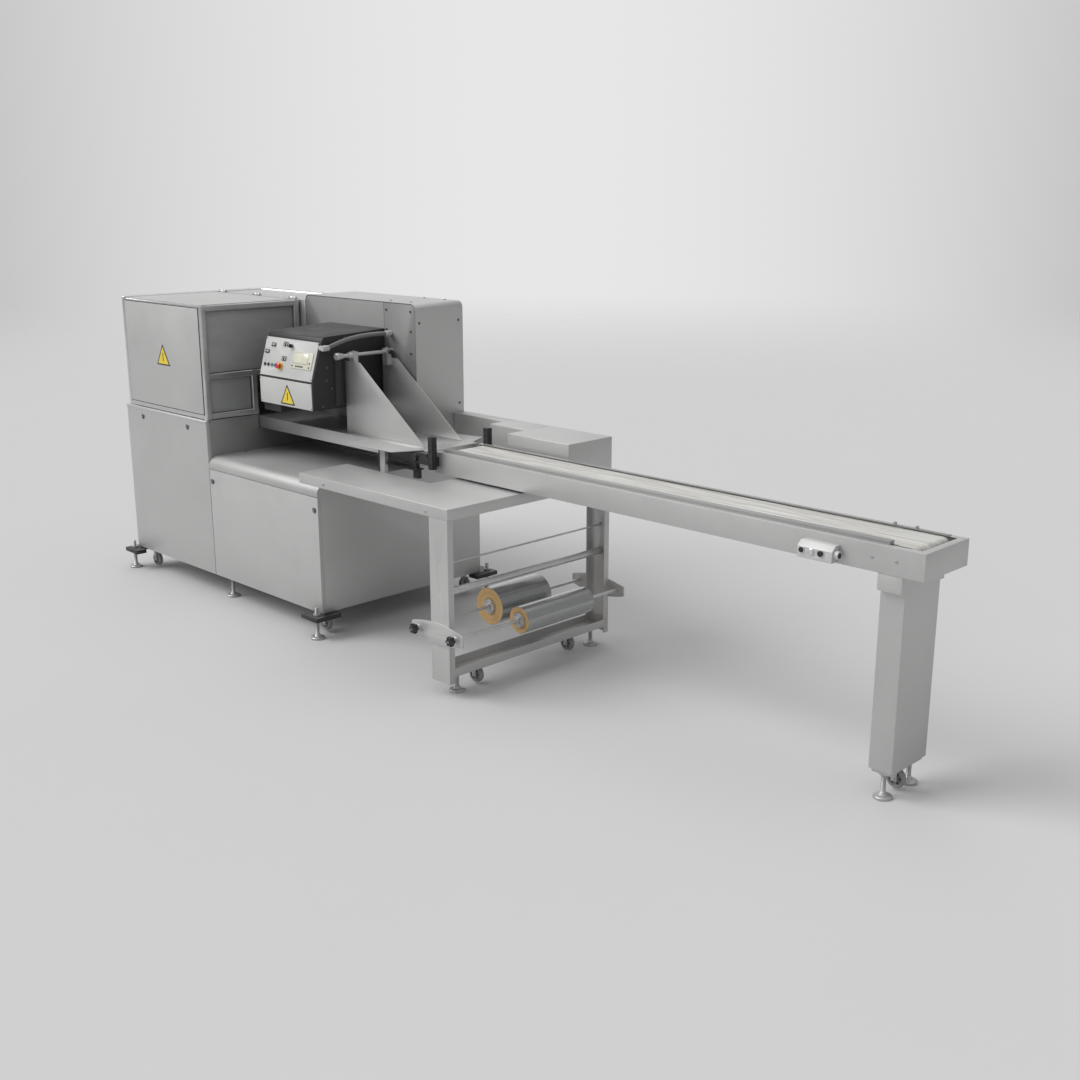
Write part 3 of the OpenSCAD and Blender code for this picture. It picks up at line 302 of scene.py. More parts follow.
def wound_film():
    """Clear film wound tight: glossy, with faint wrap bands and a few creases."""
    film = Finish("wound_film", Metallic=0.55, Coat_Weight=0.9, Coat_Roughness=0.05, IOR=1.5)
    bands = film.noise(30, stretch=(0.4, 1.5, 0.4), detail=5, roughness=0.7)
    creases = film.noise(16, stretch=(1, 0.10, 1), detail=7, roughness=0.7, shift=(3, 0, 3))
    creases = creases.ramp(0.55, 0.72)
    amount = 0.92 + (bands - 0.5) * 0.16 + creases * 0.06
    base = film.shade((0.38, 0.385, 0.39, 1), amount)
    normal = film.bumps(bands * 0.4 + creases, 0.10, 0.0008)
    roughness = 0.20 + (bands - 0.5) * 0.10 + creases * 0.05
    return film.wear(Base_Color=base, Roughness=roughness, Normal=normal)


def wound_edge(name, x):
    """Edge of a wound roll: fine rings about the shaft in a tan tone."""
    edge = Finish(name)
    across = edge.along("X") - x
    up = edge.along("Z") - SHAFT_Z
    radius = edge.math("SQRT", across * across + up * up)
    flat = {"noise_dimensions": "1D"}
    rings = edge.node("ShaderNodeTexNoise", flat, {"W": radius, "Scale": 900, "Detail": 4})
    turns = edge.node("ShaderNodeTexNoise", flat, {"W": radius, "Scale": 90, "Detail": 2})
    blots = edge.noise(40, detail=4)
    base = edge.mix(rings.ramp(0.3, 0.7), (0.46, 0.27, 0.10, 1), (0.66, 0.44, 0.20, 1))
    base = edge.shade(base, 0.95 + (turns - 0.5) * 0.5 + (blots - 0.5) * 0.2)
    normal = edge.bumps(rings, 0.35, 0.0008)
    return edge.wear(Base_Color=base, Roughness=0.5 + (rings - 0.5) * 0.2, Normal=normal)


def smoked_pane():
    """Smoked polycarbonate: dark, a little see-through, with wipe marks."""
    pane = Finish("smoked_pane", IOR=1.58)
    wipes = pane.noise(5, stretch=(1, 0.5, 1.6), detail=6, roughness=0.6)
    dust = pane.noise(180, detail=3).ramp(0.6, 0.8)
    base = pane.mix(wipes.ramp(0.35, 0.7), (0.33, 0.334, 0.338, 1), (0.39, 0.393, 0.397, 1))
    alpha = 0.93 + wipes * 0.05
    roughness = 0.30 + wipes * 0.12 + dust * 0.08
    return pane.wear(Base_Color=base, Roughness=roughness, Alpha=alpha)


def pane_screen(name, colour, glow):
    """Flat display face: faint rows and columns of cells under a glossy cover."""
    screen = Finish(name, Coat_Weight=0.6, Coat_Roughness=0.08, Emission_Strength=glow)
    rows = screen.noise(1400, stretch=(0.05, 0.05, 1), detail=1)
    columns = screen.noise(1400, stretch=(1, 0.05, 0.05), detail=1)
    cloud = screen.noise(30, detail=3)
    amount = 0.92 + (rows - 0.5) * 0.1 + (columns - 0.5) * 0.08 + (cloud - 0.5) * 0.14
    base = screen.shade(colour, amount)
    roughness = 0.22 + (cloud - 0.5) * 0.12
    return screen.wear(Base_Color=base, Roughness=roughness, Emission_Color=base)


def studio_floor():
    """Pale matt floor that fades out into the lit backdrop far from the machine."""
    floor = Finish("studio_floor", Roughness=0.8, Specular_IOR_Level=0.2)
    reach = floor.vector("LENGTH", floor.place, out="Value")
    mottle = floor.noise(1.1, detail=5)
    floor.wear(Base_Color=floor.shade((0.60, 0.60, 0.60, 1), 0.99 + (mottle - 0.5) * 0.02))
    surface = Link(floor, floor.shader.outputs[0])
    clear = floor.node("ShaderNodeBsdfTransparent")
    blended = floor.node("ShaderNodeMixShader", {}, {0: reach.ramp(*FLOOR_FADE), 1: surface, 2: clear})
    output = floor.tree.nodes["Material Output"]
    floor.tree.links.new(blended.socket, output.inputs["Surface"])
    return floor.material


STEEL = satin_steel("satin_steel", 0.57)
FRONT_STEEL = satin_steel("front_panel_steel", 0.60, rough=0.50)
BED_STEEL = satin_steel("bed_steel", 0.55, rough=0.34, metallic=0.75, grain=(0.012, 1, 0.012))
GUIDE_STEEL = satin_steel("guide_steel", 0.58, rough=0.42, grain=(1, 0.012, 0.012))
RAIL_STEEL = satin_steel("rail_steel", 0.40, rough=0.42)
SWITCH_STEEL = satin_steel("switch_case", 0.62, rough=0.50, metallic=0.35)
HOOD_PROFILE = bare_metal("hood_profile", 0.66, 0.32, (0.02, 0.02, 1), metallic=0.75)
# painted shade: a darker copy of the steel for the casing's front
CASING_SHADE_STEEL = satin_steel("casing_painted_shade", 0.36, rough=0.50)
# painted shade: a darker copy of the steel for the cabinet's right side wall under the bed
SIDE_WALL_SHADE_STEEL = satin_steel("side_wall_painted_shade", 0.34, rough=0.52)
COVER_STEEL = satin_steel("cover_steel", 0.50, rough=0.58, metallic=0.45)
# painted shadow: near-black strips put in gaps and behind louvres where shade falls
SHADOW_GAP = moulded("painted_shadow_strip", (0.03, 0.03, 0.032, 1), 0.6, grain=500)
DARK_SCREW = bare_metal("dark_screw", 0.20, 0.36, (1, 1, 1))
PROFILE = bare_metal("anodised_profile", 0.72, 0.30, (0.02, 0.02, 1), metallic=0.85)
ROD = bare_metal("ground_rod", 0.66, 0.36, (1, 0.02, 1), metallic=0.7)
TOOL_STEEL = bare_metal("tool_steel", 0.42, 0.34, (1, 1, 0.05))
ZINC = zinc_plate("zinc_steel", 0.56)
BLACK_STEEL = paint("black_steel", (0.022, 0.022, 0.024, 1), 0.42,
                    worn=(0.16, 0.16, 0.16, 1), dust=0.16)
CHARCOAL = paint("charcoal_paint", (0.026, 0.026, 0.029, 1), 0.50, pebble=420,
                 worn=(0.05, 0.05, 0.052, 1))
LIGHT_PANEL = paint("light_panel", (0.62, 0.62, 0.61, 1), 0.40, pebble=700,
                    worn=(0.56, 0.56, 0.55, 1), dust=0.05)
MOTOR_PAINT = paint("motor_paint", (0.10, 0.16, 0.24, 1), 0.34, pebble=300,
                    worn=(0.2, 0.2, 0.2, 1), coat=0.4)
IVORY = moulded("ivory_plastic", (0.72, 0.70, 0.58, 1), 0.42)
GREY_HOSE = moulded("grey_hose", (0.20, 0.20, 0.205, 1), 0.38)
FITTING = moulded("light_fitting", (0.52, 0.52, 0.52, 1), 0.35)
RUBBER = moulded("black_rubber", (0.02, 0.02, 0.021, 1), 0.62, grain=600)
WHEEL_GREY = moulded("grey_wheel", (0.27, 0.27, 0.272, 1), 0.45)
BLACK_PLASTIC = moulded("black_plastic", (0.018, 0.018, 0.02, 1), 0.36)
RED_PLASTIC = moulded("red_plastic", (0.62, 0.028, 0.018, 1), 0.26, coat=0.6)
YELLOW_PLASTIC = moulded("yellow_plastic", (0.83, 0.60, 0.03, 1), 0.34, coat=0.3)
GREEN_PLASTIC = moulded("green_plastic", (0.04, 0.24, 0.09, 1), 0.28, coat=0.5)
BLUE_PLASTIC = moulded("blue_plastic", (0.03, 0.08, 0.28, 1), 0.28, coat=0.5)
SIGN_YELLOW = moulded("sign_yellow", (0.87, 0.66, 0.02, 1), 0.30, grain=1500, coat=0.4)
SIGN_BLACK = moulded("sign_black", (0.02, 0.02, 0.02, 1), 0.34, grain=1500, coat=0.4)
FILM = wound_film()
BELT_CLOTH = belt_cloth()
PANE = smoked_pane()
SCREEN = pane_screen("display_face", (0.78, 0.77, 0.62, 1), 0.04)
METER_FACE = pane_screen("meter_face", (0.55, 0.57, 0.55, 1), 0.02)


# ---- ways of making pieces ----

def only(*objects):
    """Selects these objects and nothing else."""
    bpy.ops.object.select_all(action="DESELECT")
    for obj in objects:
        obj.select_set(True)
    bpy.context.view_layer.objects.active = objects[0]
    return objects[0]


def settle(obj, place=None):
    """Applies the object's own place, after moving it to a place in the frame."""
    if place is not None:
        obj.matrix_world = place @ obj.matrix_world
    only(obj)
    bpy.ops.object.transform_apply(location=True, rotation=True, scale=True)
    return obj


def modified(obj, kind, **settings):
    """Adds a modifier and applies it."""
    only(obj)
    modifier = obj.modifiers.new(kind.lower(), kind)
    for key, value in settings.items():
        setattr(modifier, key, value)
    bpy.ops.object.modifier_apply(modifier=modifier.name)
    return obj


def softened(obj, width, segments=2, angle=35):
    """Rounds the sharp edges by a small radius."""
    return modified(obj, "BEVEL", width=width, segments=segments, limit_method="ANGLE",
                    angle_limit=math.radians(angle), harden_normals=False)


def piece(obj, name, body, finish, stands_for=(), angle=32, place=None):
    """Names, paints and smooths a finished piece, and rides it on its body."""
    settle(obj, place)
    obj.name = name
    obj.data.name = name
    if finish is not None:
        obj.data.materials.clear()
        obj.data.materials.append(finish)
    only(obj)
    bpy.ops.object.shade_smooth_by_angle(angle=math.radians(angle))
    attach(obj, body)
    if stands_for:
        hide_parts(*stands_for)
    return obj


def joined(objects):
    """One object out of several, each keeping its finish."""
    only(*objects)
    if len(objects) > 1:
        bpy.ops.object.join()
    return bpy.context.view_layer.objects.active


def painted(obj, finish):
    obj.data.materials.clear()
    obj.data.materials.append(finish)
    return obj


def block(low, high, soft=0.001, segments=2):
    """Box between two corners, with its edges rounded."""
    low, high = Vector(low), Vector(high)
    bpy.ops.object.select_all(action="DESELECT")
    bpy.ops.mesh.primitive_cube_add(size=1, location=(low + high) / 2, scale=high - low)
    obj = settle(bpy.context.active_object)
    return softened(obj, soft, segments) if soft else obj


def drawn(points):
    """Chain of edges through the points, drawn by extruding one vertex."""
    bpy.ops.object.select_all(action="DESELECT")
    bpy.ops.mesh.primitive_plane_add(size=0.001, location=points[0])
    obj = bpy.context.active_object
    bpy.ops.object.mode_set(mode="EDIT")
    bpy.ops.mesh.select_mode(type="VERT")
    bpy.ops.mesh.merge(type="CENTER")
    for before, after in zip(points, points[1:]):
        step = Vector(after) - Vector(before)
        bpy.ops.mesh.extrude_region_move(TRANSFORM_OT_translate={"value": step})
    bpy.ops.object.mode_set(mode="OBJECT")
    return settle(obj)


def turned(profile, steps=40, closed=False):
    """Body turned about the Y axis from (radius, y) pairs; its ends on the axis are closed."""
    obj = drawn([(radius, y, 0) for radius, y in profile])
    if closed:
        profile = profile + profile[:1]
    bpy.ops.object.mode_set(mode="EDIT")
    bpy.ops.mesh.select_all(action="SELECT")
    if closed:
        bpy.ops.mesh.edge_face_add()
        bpy.ops.mesh.delete(type="ONLY_FACE")
        bpy.ops.mesh.select_all(action="SELECT")
    bpy.ops.mesh.spin(steps=steps, angle=math.tau, center=(0, 0, 0), axis=(0, 1, 0))
    bpy.ops.mesh.select_all(action="SELECT")
    bpy.ops.mesh.remove_doubles(threshold=1e-6)
    bpy.ops.mesh.normals_make_consistent(inside=False)
    bpy.ops.object.mode_set(mode="OBJECT")
    return obj


def filled(points, sweep, rounding=0.0):
    """Plate: the outline through the points, its corners rounded, swept to its thickness."""
    plate = drawn(points)
    bpy.ops.object.mode_set(mode="EDIT")
    bpy.ops.mesh.select_all(action="SELECT")
    bpy.ops.mesh.edge_face_add()
    if rounding:
        bpy.ops.mesh.bevel(offset=rounding, segments=4, affect="VERTICES")
    bpy.ops.mesh.select_all(action="SELECT")
    bpy.ops.mesh.extrude_region_move(TRANSFORM_OT_translate={"value": sweep})
    bpy.ops.mesh.select_all(action="SELECT")
    bpy.ops.mesh.normals_make_consistent(inside=False)
    bpy.ops.object.mode_set(mode="OBJECT")
    return plate


def prism(sides, radius, y0, y1, soft=0.0):
    """Bar with a regular outline along Y."""
    bpy.ops.object.select_all(action="DESELECT")
    bpy.ops.mesh.primitive_cylinder_add(
        vertices=sides, radius=radius, depth=y1 - y0, location=(0, (y0 + y1) / 2, 0),
        rotation=(math.pi / 2, 0, 0))
    obj = settle(bpy.context.active_object)
    return softened(obj, soft) if soft else obj


def copied(obj, place):
    """Another of the same piece, with its own mesh, at a place."""
    only(obj)
    bpy.ops.object.duplicate(linked=False)
    return settle(bpy.context.active_object, place)


def repeated(obj, places):
    """The piece at every place: copies of it, and itself at the last one."""
    return [copied(obj, place) for place in places[:-1]] + [settle(obj, places[-1])]


def at(x, y, z, turn=None):
    return Matrix.Translation((x, y, z)) @ (turn or Matrix.Identity(4))


def ring_of(count, radius, y, first=0):
    """Places evenly round the Y axis, the first one at an angle in degrees."""
    angles = [math.radians(first + 360 / count * i) for i in range(count)]
    return [at(radius * math.cos(angle), y, radius * math.sin(angle)) for angle in angles]


# turns that point a piece's front (-Y) another way
TO_TOP = Matrix.Rotation(-math.pi / 2, 4, "X")
TO_RIGHT = Matrix.Rotation(math.pi / 2, 4, "Z")
TO_REAR = Matrix.Rotation(math.pi, 4, "Z")
PANEL_TURN = Matrix.Rotation(-PANEL_LEAN, 4, "X")


def on_panel(x, up):
    """Place on the face of the sloping control panel: along it and up the slope."""
    return at(x, PANEL_FOOT.y, PANEL_FOOT.z, PANEL_TURN) @ Matrix.Translation((0, -PANEL_SHEET, up))


def cad_copy(node, width):
    """Copy of a CAD node with its seams merged and its sharp edges rounded."""
    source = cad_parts[node]
    obj = bpy.data.objects.new("copy_" + node, source.data.copy())
    bpy.context.scene.collection.objects.link(obj)
    obj.data.materials.clear()
    only(obj)
    bpy.ops.object.mode_set(mode="EDIT")
    bpy.ops.mesh.select_all(action="SELECT")
    bpy.ops.mesh.remove_doubles(threshold=2e-6)
    bpy.ops.mesh.dissolve_limited(angle_limit=math.radians(0.6))
    bpy.ops.object.mode_set(mode="OBJECT")
    return softened(obj, width)


def sheet_part(node, body, finish, width):
    """A CAD node shown with rounded edges in its finish."""
    return piece(cad_copy(node, width), node + "_skin", body, finish, (node,))


# ---- sheet metal, profiles and frames ----

def paint_zone(obj, finish, low, high):
    """Gives the faces whose middles lie between two corners another finish."""
    obj.data.materials.append(finish)
    number = len(obj.data.materials) - 1
    for face in obj.data.polygons:
        if all(low[i] <= face.center[i] <= high[i] for i in range(3)):
            face.material_index = number


def bed_brackets():
    """Black brackets between bed and conveyor, with one upright of plain steel at the front."""
    brackets = cad_copy("transfer_brackets", 0.0010)
    painted(brackets, BLACK_STEEL)
    paint_zone(brackets, STEEL, (-0.3965, -0.2225, 0.748), (-0.3595, -0.2055, 0.897))
    piece(brackets, "bed_brackets", "machine", None, ("transfer_brackets",))


def with_painted_shade(node, width, finish, shade_finish, low, high):
    """A steel node, part of which is given a darker steel as painted shade."""
    shell = painted(cad_copy(node, width), finish)
    paint_zone(shell, shade_finish, low, high)
    piece(shell, node + "_skin", "machine", None, (node,))


def body_work():
    side = CABINET[1].x
    # the cabinet's right side wall gets the darker steel as painted shade
    with_painted_shade("cabinet_shell", 0.0012, STEEL, SIDE_WALL_SHADE_STEEL,
             (side - 0.001, -1, 0), (side + 0.001, 1, 1))
    # the casing's front faces get the darker steel as painted shade
    front = CASING[0].y
    with_painted_shade("casing_wrap", 0.0010, STEEL, CASING_SHADE_STEEL,
             (-2, front - 0.001, 0), (0, front + 0.0015, 2))
    for node, finish, slot, width in [
        ("front_panels", FRONT_STEEL, "front_panel_steel", 0.0016),
        ("base_shell", STEEL, "satin_steel", 0.0010),
        ("base_top_cover", COVER_STEEL, "satin_steel", 0.0008),
        ("upper_housing", STEEL, "satin_steel", 0.0010),
        ("hood_rails", PROFILE, "aluminium_profile", 0.0006),
        ("corner_plates", BLACK_STEEL, "black_steel", 0.0018),
        # the casing's panels in the darker steel: painted shade
        ("casing_panels", CASING_SHADE_STEEL, "satin_steel", 0.0007),
        ("infeed_bed", BED_STEEL, "satin_steel", 0.0010),
        ("bed_wings", COVER_STEEL, "satin_steel", 0.0007),
        ("conveyor_frame", STEEL, "satin_steel", 0.0009),
        ("conveyor_guide_rails", RAIL_STEEL, "satin_steel", 0.0010),
        ("conveyor_leg", STEEL, "satin_steel", 0.0014),
        ("stand_frame", STEEL, "satin_steel", 0.0008),
        ("roll_end_plates", STEEL, "satin_steel", 0.0016),
        ("film_table", STEEL, "satin_steel", 0.0012),
        ("rear_covers", STEEL, "satin_steel", 0.0014),
        ("jaw_frame", TOOL_STEEL, "tool_steel", 0.0012),
        ("gearmotor", MOTOR_PAINT, "motor_paint", 0.0050),
        ("caster_forks", ZINC, "zinc_steel", 0.0007),
        ("control_box", CHARCOAL, "charcoal_paint", 0.0018),
    ]:
        sheet_part(node, "machine", finish, width)
    sheet_part("hood_frame", "hood", HOOD_PROFILE, 0.0008)
    bed_brackets()
    hood_skins()
    closing_parts()
    sheet_part("hood_windows", "hood", PANE, 0.0010)
    sheet_part("guide_plate_front", "guide_front", GUIDE_STEEL, 0.0007)
    sheet_part("guide_plate_rear", "guide_rear", GUIDE_STEEL, 0.0007)
    sheet_part("upper_jaw", "jaw_upper", TOOL_STEEL, 0.0015)
    sheet_part("lower_jaw", "jaw_lower", TOOL_STEEL, 0.0015)
    sheet_part("conveyor_belt", "machine", BELT_CLOTH, 0.0004)
    sheet_part("guide_roller", "web_roller", ROD, 0.0015)
    sheet_part("drive_roller", "belt_drive", RUBBER, 0.0015)
    sheet_part("tail_roller", "belt_tail", ROD, 0.0015)


def framed(low, high, axis, rim=0.0035):
    """Four strips round a flat rectangle that faces along an axis."""
    low, high = Vector(low), Vector(high)
    flat = [i for i in range(3) if i != axis]
    strips = []
    for i, other in (flat, flat[::-1]):
        for end, grow in ((low, -rim), (high, rim)):
            a, b = low.copy(), high.copy()
            a[i], b[i] = min(end[i], end[i] + grow), max(end[i], end[i] + grow)
            a[other] -= rim
            b[other] += rim
            strips.append(block(a, b, 0.0006))
    return joined(strips)


def hood_skins():
    """The hood's front and top sheets in its bright frame, and dark strips round sheet and panes as
    painted shadow.
    """
    low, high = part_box("hood_panels")
    sheet, shadow_strip_back, shadow_strip_depth = 0.003, 0.0012, 0.002
    front_low = Vector((low.x + 0.006, low.y, low.z + 0.003))
    front_high = Vector((high.x - 0.021, low.y + sheet, high.z - 0.016))
    front = block(front_low, front_high, 0.0009)
    top = block((low.x + 0.008, low.y + 0.022, high.z - sheet), (high.x - 0.018, high.y, high.z), 0.0009)
    painted(front, FRONT_STEEL)
    painted(top, FRONT_STEEL)
    piece(joined([front, top]), "hood_sheets", "hood", None, ("hood_panels",))
    # painted shadow: dark strips round the front sheet and the panes
    front_shadow_strip = framed(front_low + Vector((0, shadow_strip_back, 0)), front_high, 1, rim=0.0034)
    low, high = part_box("hood_windows")
    face, edge = high.x + 0.0022, 0.004
    upper = framed((face - shadow_strip_depth, low.y + edge, 1.136), (face, high.y - edge, high.z - edge), 0)
    lower = framed((face - shadow_strip_depth, low.y + edge, low.z + edge), (face, -0.189, 1.100), 0)
    piece(joined([front_shadow_strip, upper, lower]), "hood_shadow_strips", "hood", SHADOW_GAP)


def closing_parts():
    """Dark strip in the gap between the front panels as painted shadow, and the plate at the bend's right
    end.
    """
    gap_x, wall = CABINET[1].x, CABINET[0].y
    # painted shadow: a dark strip in the gap between the panels
    strip = block((gap_x - 0.0005, wall - 0.017, BASE[0].z + 0.002), (gap_x + 0.0052, wall - 0.004, 0.660),
                  0.0004)
    piece(strip, "panel_gap_strip", "machine", SHADOW_GAP)
    front, top, bend, steps = -0.470, 0.726, 0.045, 8
    reach = bend - 0.0034
    outline = [(front + bend, 0.655), (front + 0.0006, 0.655)]
    for i in range(steps + 1):
        angle = math.pi - i * math.pi / 2 / steps
        outline.append((front + bend + reach * math.cos(angle), top - bend + reach * math.sin(angle)))
    x = BASE[1].x - 0.0032
    gusset = filled([(x, y, z) for y, z in outline], (0.003, 0, 0))
    piece(gusset, "bend_end_plate", "machine", STEEL)


def guide_knob():
    """Black clamping knob on the rear guide's clamp."""
    knob = turned([(0.0040, 0.0), (0.0040, -0.006), (0.0095, -0.007), (0.0110, -0.0095),
                   (0.0110, -0.0165), (0.0096, -0.0190), (0, -0.0190), (0, 0.0)], steps=36)
    piece(knob, "guide_clamp_knob", "guide_rear", BLACK_PLASTIC,
          place=at(ROD_X + 0.018, 0.093, ROD_Z, TO_RIGHT))


def sign(name, body, x, y, z, width):
    """Plain yellow triangle with a dark border and one dark bar, stuck on a front face."""
    height = width * 0.83
    parts = []
    for scale, lift, finish in [(1.0, 0.0009, SIGN_BLACK), (0.80, 0.0012, SIGN_YELLOW)]:
        half, low, top = width / 2 * scale, -height / 3 * scale, height * 2 / 3 * scale
        corners = [(-half, 0, low), (half, 0, low), (0, 0, top)]
        parts.append(painted(filled(corners, (0, -lift, 0), width * 0.035 * scale), finish))
    half = width * 0.030
    bar = block((-half, -0.0015, -height * 0.13), (half, -0.0002, height * 0.26), 0.0006)
    parts.append(painted(bar, SIGN_BLACK))
    return piece(joined(parts), name, body, None, place=at(x, y, z))


def service_panel(name, x0, x1, z0, z1):
    """Removable rear panel with rolled edges, a bank of louvres with a dark sheet behind them as painted
    shadow, and a fastener at each corner.
    """
    wall, face = CABINET[1].y, CABINET[1].y + 0.0022
    parts = [painted(block((x0, wall - 0.0004, z0), (x1, face, z1), 0.0009), FRONT_STEEL)]
    left, right = (x0 + x1) / 2 - (x1 - x0) * 0.30, (x0 + x1) / 2 + (x1 - x0) * 0.30
    first, pitch, count = z1 - 0.10, 0.021, 9
    slat = block((left, wall + 0.0008, 0), (right, wall + 0.0062, 0.011), 0.0030, 3)
    painted(slat, STEEL)
    parts += repeated(slat, [at(0, 0, first - pitch * i) for i in range(count)])
    # painted shadow: a dark sheet behind the louvres
    shade = block((left + 0.004, wall + 0.0018, first - pitch * (count - 1) - 0.008),
                  (right - 0.004, wall + 0.0028, first + 0.010), 0.0003)
    parts.append(painted(shade, SHADOW_GAP))
    inset = 0.03
    corners = [at(x, face, z, TO_REAR) for x in (x0 + inset, x1 - inset) for z in (z0 + inset, z1 - inset)]
    parts += repeated(quarter_turn(), corners)
    piece(joined(parts), name, "machine", None)


def rear_work():
    """Service panels of the rear walls and the ledge that closes the cabinet behind its housing."""
    service_panel("cabinet_service_panel", -2.19, -1.53, 0.19, 0.84)
    service_panel("base_service_panel", -1.40, -0.61, 0.19, 0.66)
    housing_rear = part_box("upper_housing")[1].y
    inset = 0.0034
    left, right, rear = CABINET[0].x + inset, CABINET[1].x - inset, CABINET[1].y - inset
    top = CABINET[1].z - 0.0025
    ledge = block((left, housing_rear - 0.002, top - 0.0025), (right, rear, top), 0.0007)
    bend = block((left, rear - 0.0026, top - 0.0255), (right, rear, top), 0.0007)
    piece(joined([ledge, bend]), "cabinet_rear_ledge", "machine", STEEL)


# ---- fasteners ----

def screw_head(radius, height, finish=DARK_SCREW):
    """Domed screw with a socket in its head, facing -Y, seated at the origin."""
    dome = turned([(radius, 0), (radius, -height * 0.45), (radius * 0.86, -height * 0.82),
                   (radius * 0.5, -height), (radius * 0.42, -height), (radius * 0.42, -height * 0.45),
                   (0, -height * 0.45)], steps=24)
    return painted(dome, finish)


def quarter_turn():
    """Quarter-turn fastener: dished disc with a slotted plug."""
    disc = turned([(0.014, 0), (0.014, -0.0018), (0.0126, -0.003), (0.0098, -0.003),
                   (0.0090, -0.0022), (0.0078, -0.0022), (0.0074, -0.005), (0.0060, -0.005),
                   (0, -0.0046)], steps=36)
    slot = block((-0.0062, -0.0052, -0.0012), (0.0062, -0.0040, 0.0012), 0.0002)
    return joined([painted(disc, DARK_SCREW), painted(slot, ZINC)])


def fasteners():
    front_y = CASING[0].y + 0.001
    top_z = CASING[1].z
    right_x = CASING[1].x
    spots = []
    for x in (-0.761, -0.581):
        for z in (1.460, 1.367, 1.263, 1.160, 1.056):
            spots.append(at(x, front_y, z))
    for x in (-0.799, -0.645):
        for y in (0.188, 0.400):
            spots.append(at(x, y, top_z, TO_TOP))
    for y in (0.152, 0.398):
        for z in (1.407, 1.004):
            spots.append(at(right_x, y, z, TO_RIGHT))
    for y, z in [(-0.218, 1.210), (-0.223, 1.151), (-0.194, 1.112),
                 (-0.249, 1.030), (-0.112, 1.340), (0.060, 1.340)]:
        spots.append(at(CONTROL_RIGHT, y, z, TO_RIGHT))
    for x in (-1.385, -0.985, -0.580):
        for z in (1.430, 1.190, 0.960):
            spots.append(at(x, CASING[1].y, z, TO_REAR))
    panel_y = CABINET[0].y - 0.020
    panel_spots = [(-2.093, 0.854), (-1.645, 0.854), (-1.436, 0.604), (-0.572, 0.604)]
    heads = repeated(screw_head(0.0062, 0.0034), spots)
    for head, places in [
        (screw_head(0.007, 0.003, ZINC), [at(x, TABLE[0].y, 0.768) for x in (-0.375, 0.317)]),
        (screw_head(0.006, 0.003, ZINC), [at(x, CONVEYOR[0].y, 0.855) for x in (2.103, 2.193)]),
        (screw_head(0.006, 0.003), [at(-1.444, -0.263, 0.726, TO_TOP)]),
        (quarter_turn(), [at(x, panel_y, z) for x, z in panel_spots]),
    ]:
        heads += repeated(head, places)
    piece(joined(heads), "panel_fasteners", "machine", None, ("panel_screws",))


# ---- control panel ----

def instrument(x, up, width, height, face, name):
    """Small instrument: bevelled bezel with a sunk face and a few plain ticks."""
    bezel = block((-width / 2, -0.0045, -height / 2), (width / 2, -0.0001, height / 2), 0.0009)
    rim = 0.0045 if width > 0.02 else 0.0036
    side, top = width / 2 - rim, height / 2 - rim
    face_part = block((-side, -0.0049, -top), (side, -0.0040, top), 0.0003)
    parts = [painted(bezel, BLACK_PLASTIC), painted(face_part, face)]
    count = max(2, int(width / 0.007))
    for i in range(count):
        tick_x = (i + 0.5 - count / 2) * (width - 2 * rim - 0.002) / count
        tick = block((tick_x - 0.0007, -0.0052, -height * 0.14),
                     (tick_x + 0.0007, -0.0048, height * 0.14), 0.0002)
        parts.append(painted(tick, BLACK_PLASTIC))
    piece(joined(parts), name, "machine", None, place=on_panel(x, up))


def press_key(name, radius, cap, finish, body, node, place):
    """Push button with a dished cap, in a chromed bezel that stays on the panel."""
    button = turned([(0, 0.014), (radius * 0.5, 0.014), (radius * 0.5, 0.008), (radius, 0.008),
                     (radius, -cap + 0.0014), (radius - 0.0012, -cap), (radius * 0.72, -cap),
                     (radius * 0.55, -cap + 0.0007), (0, -cap + 0.0009)], steps=32)
    piece(button, name, body, finish, (node,), place=place)
    bezel = turned([(radius + 0.0006, 0), (radius + 0.0036, 0), (radius + 0.0036, -0.0012),
                    (radius + 0.0024, -0.0026), (radius + 0.0006, -0.0026)], steps=32, closed=True)
    piece(bezel, name + "_bezel", "machine", PROFILE, place=place)


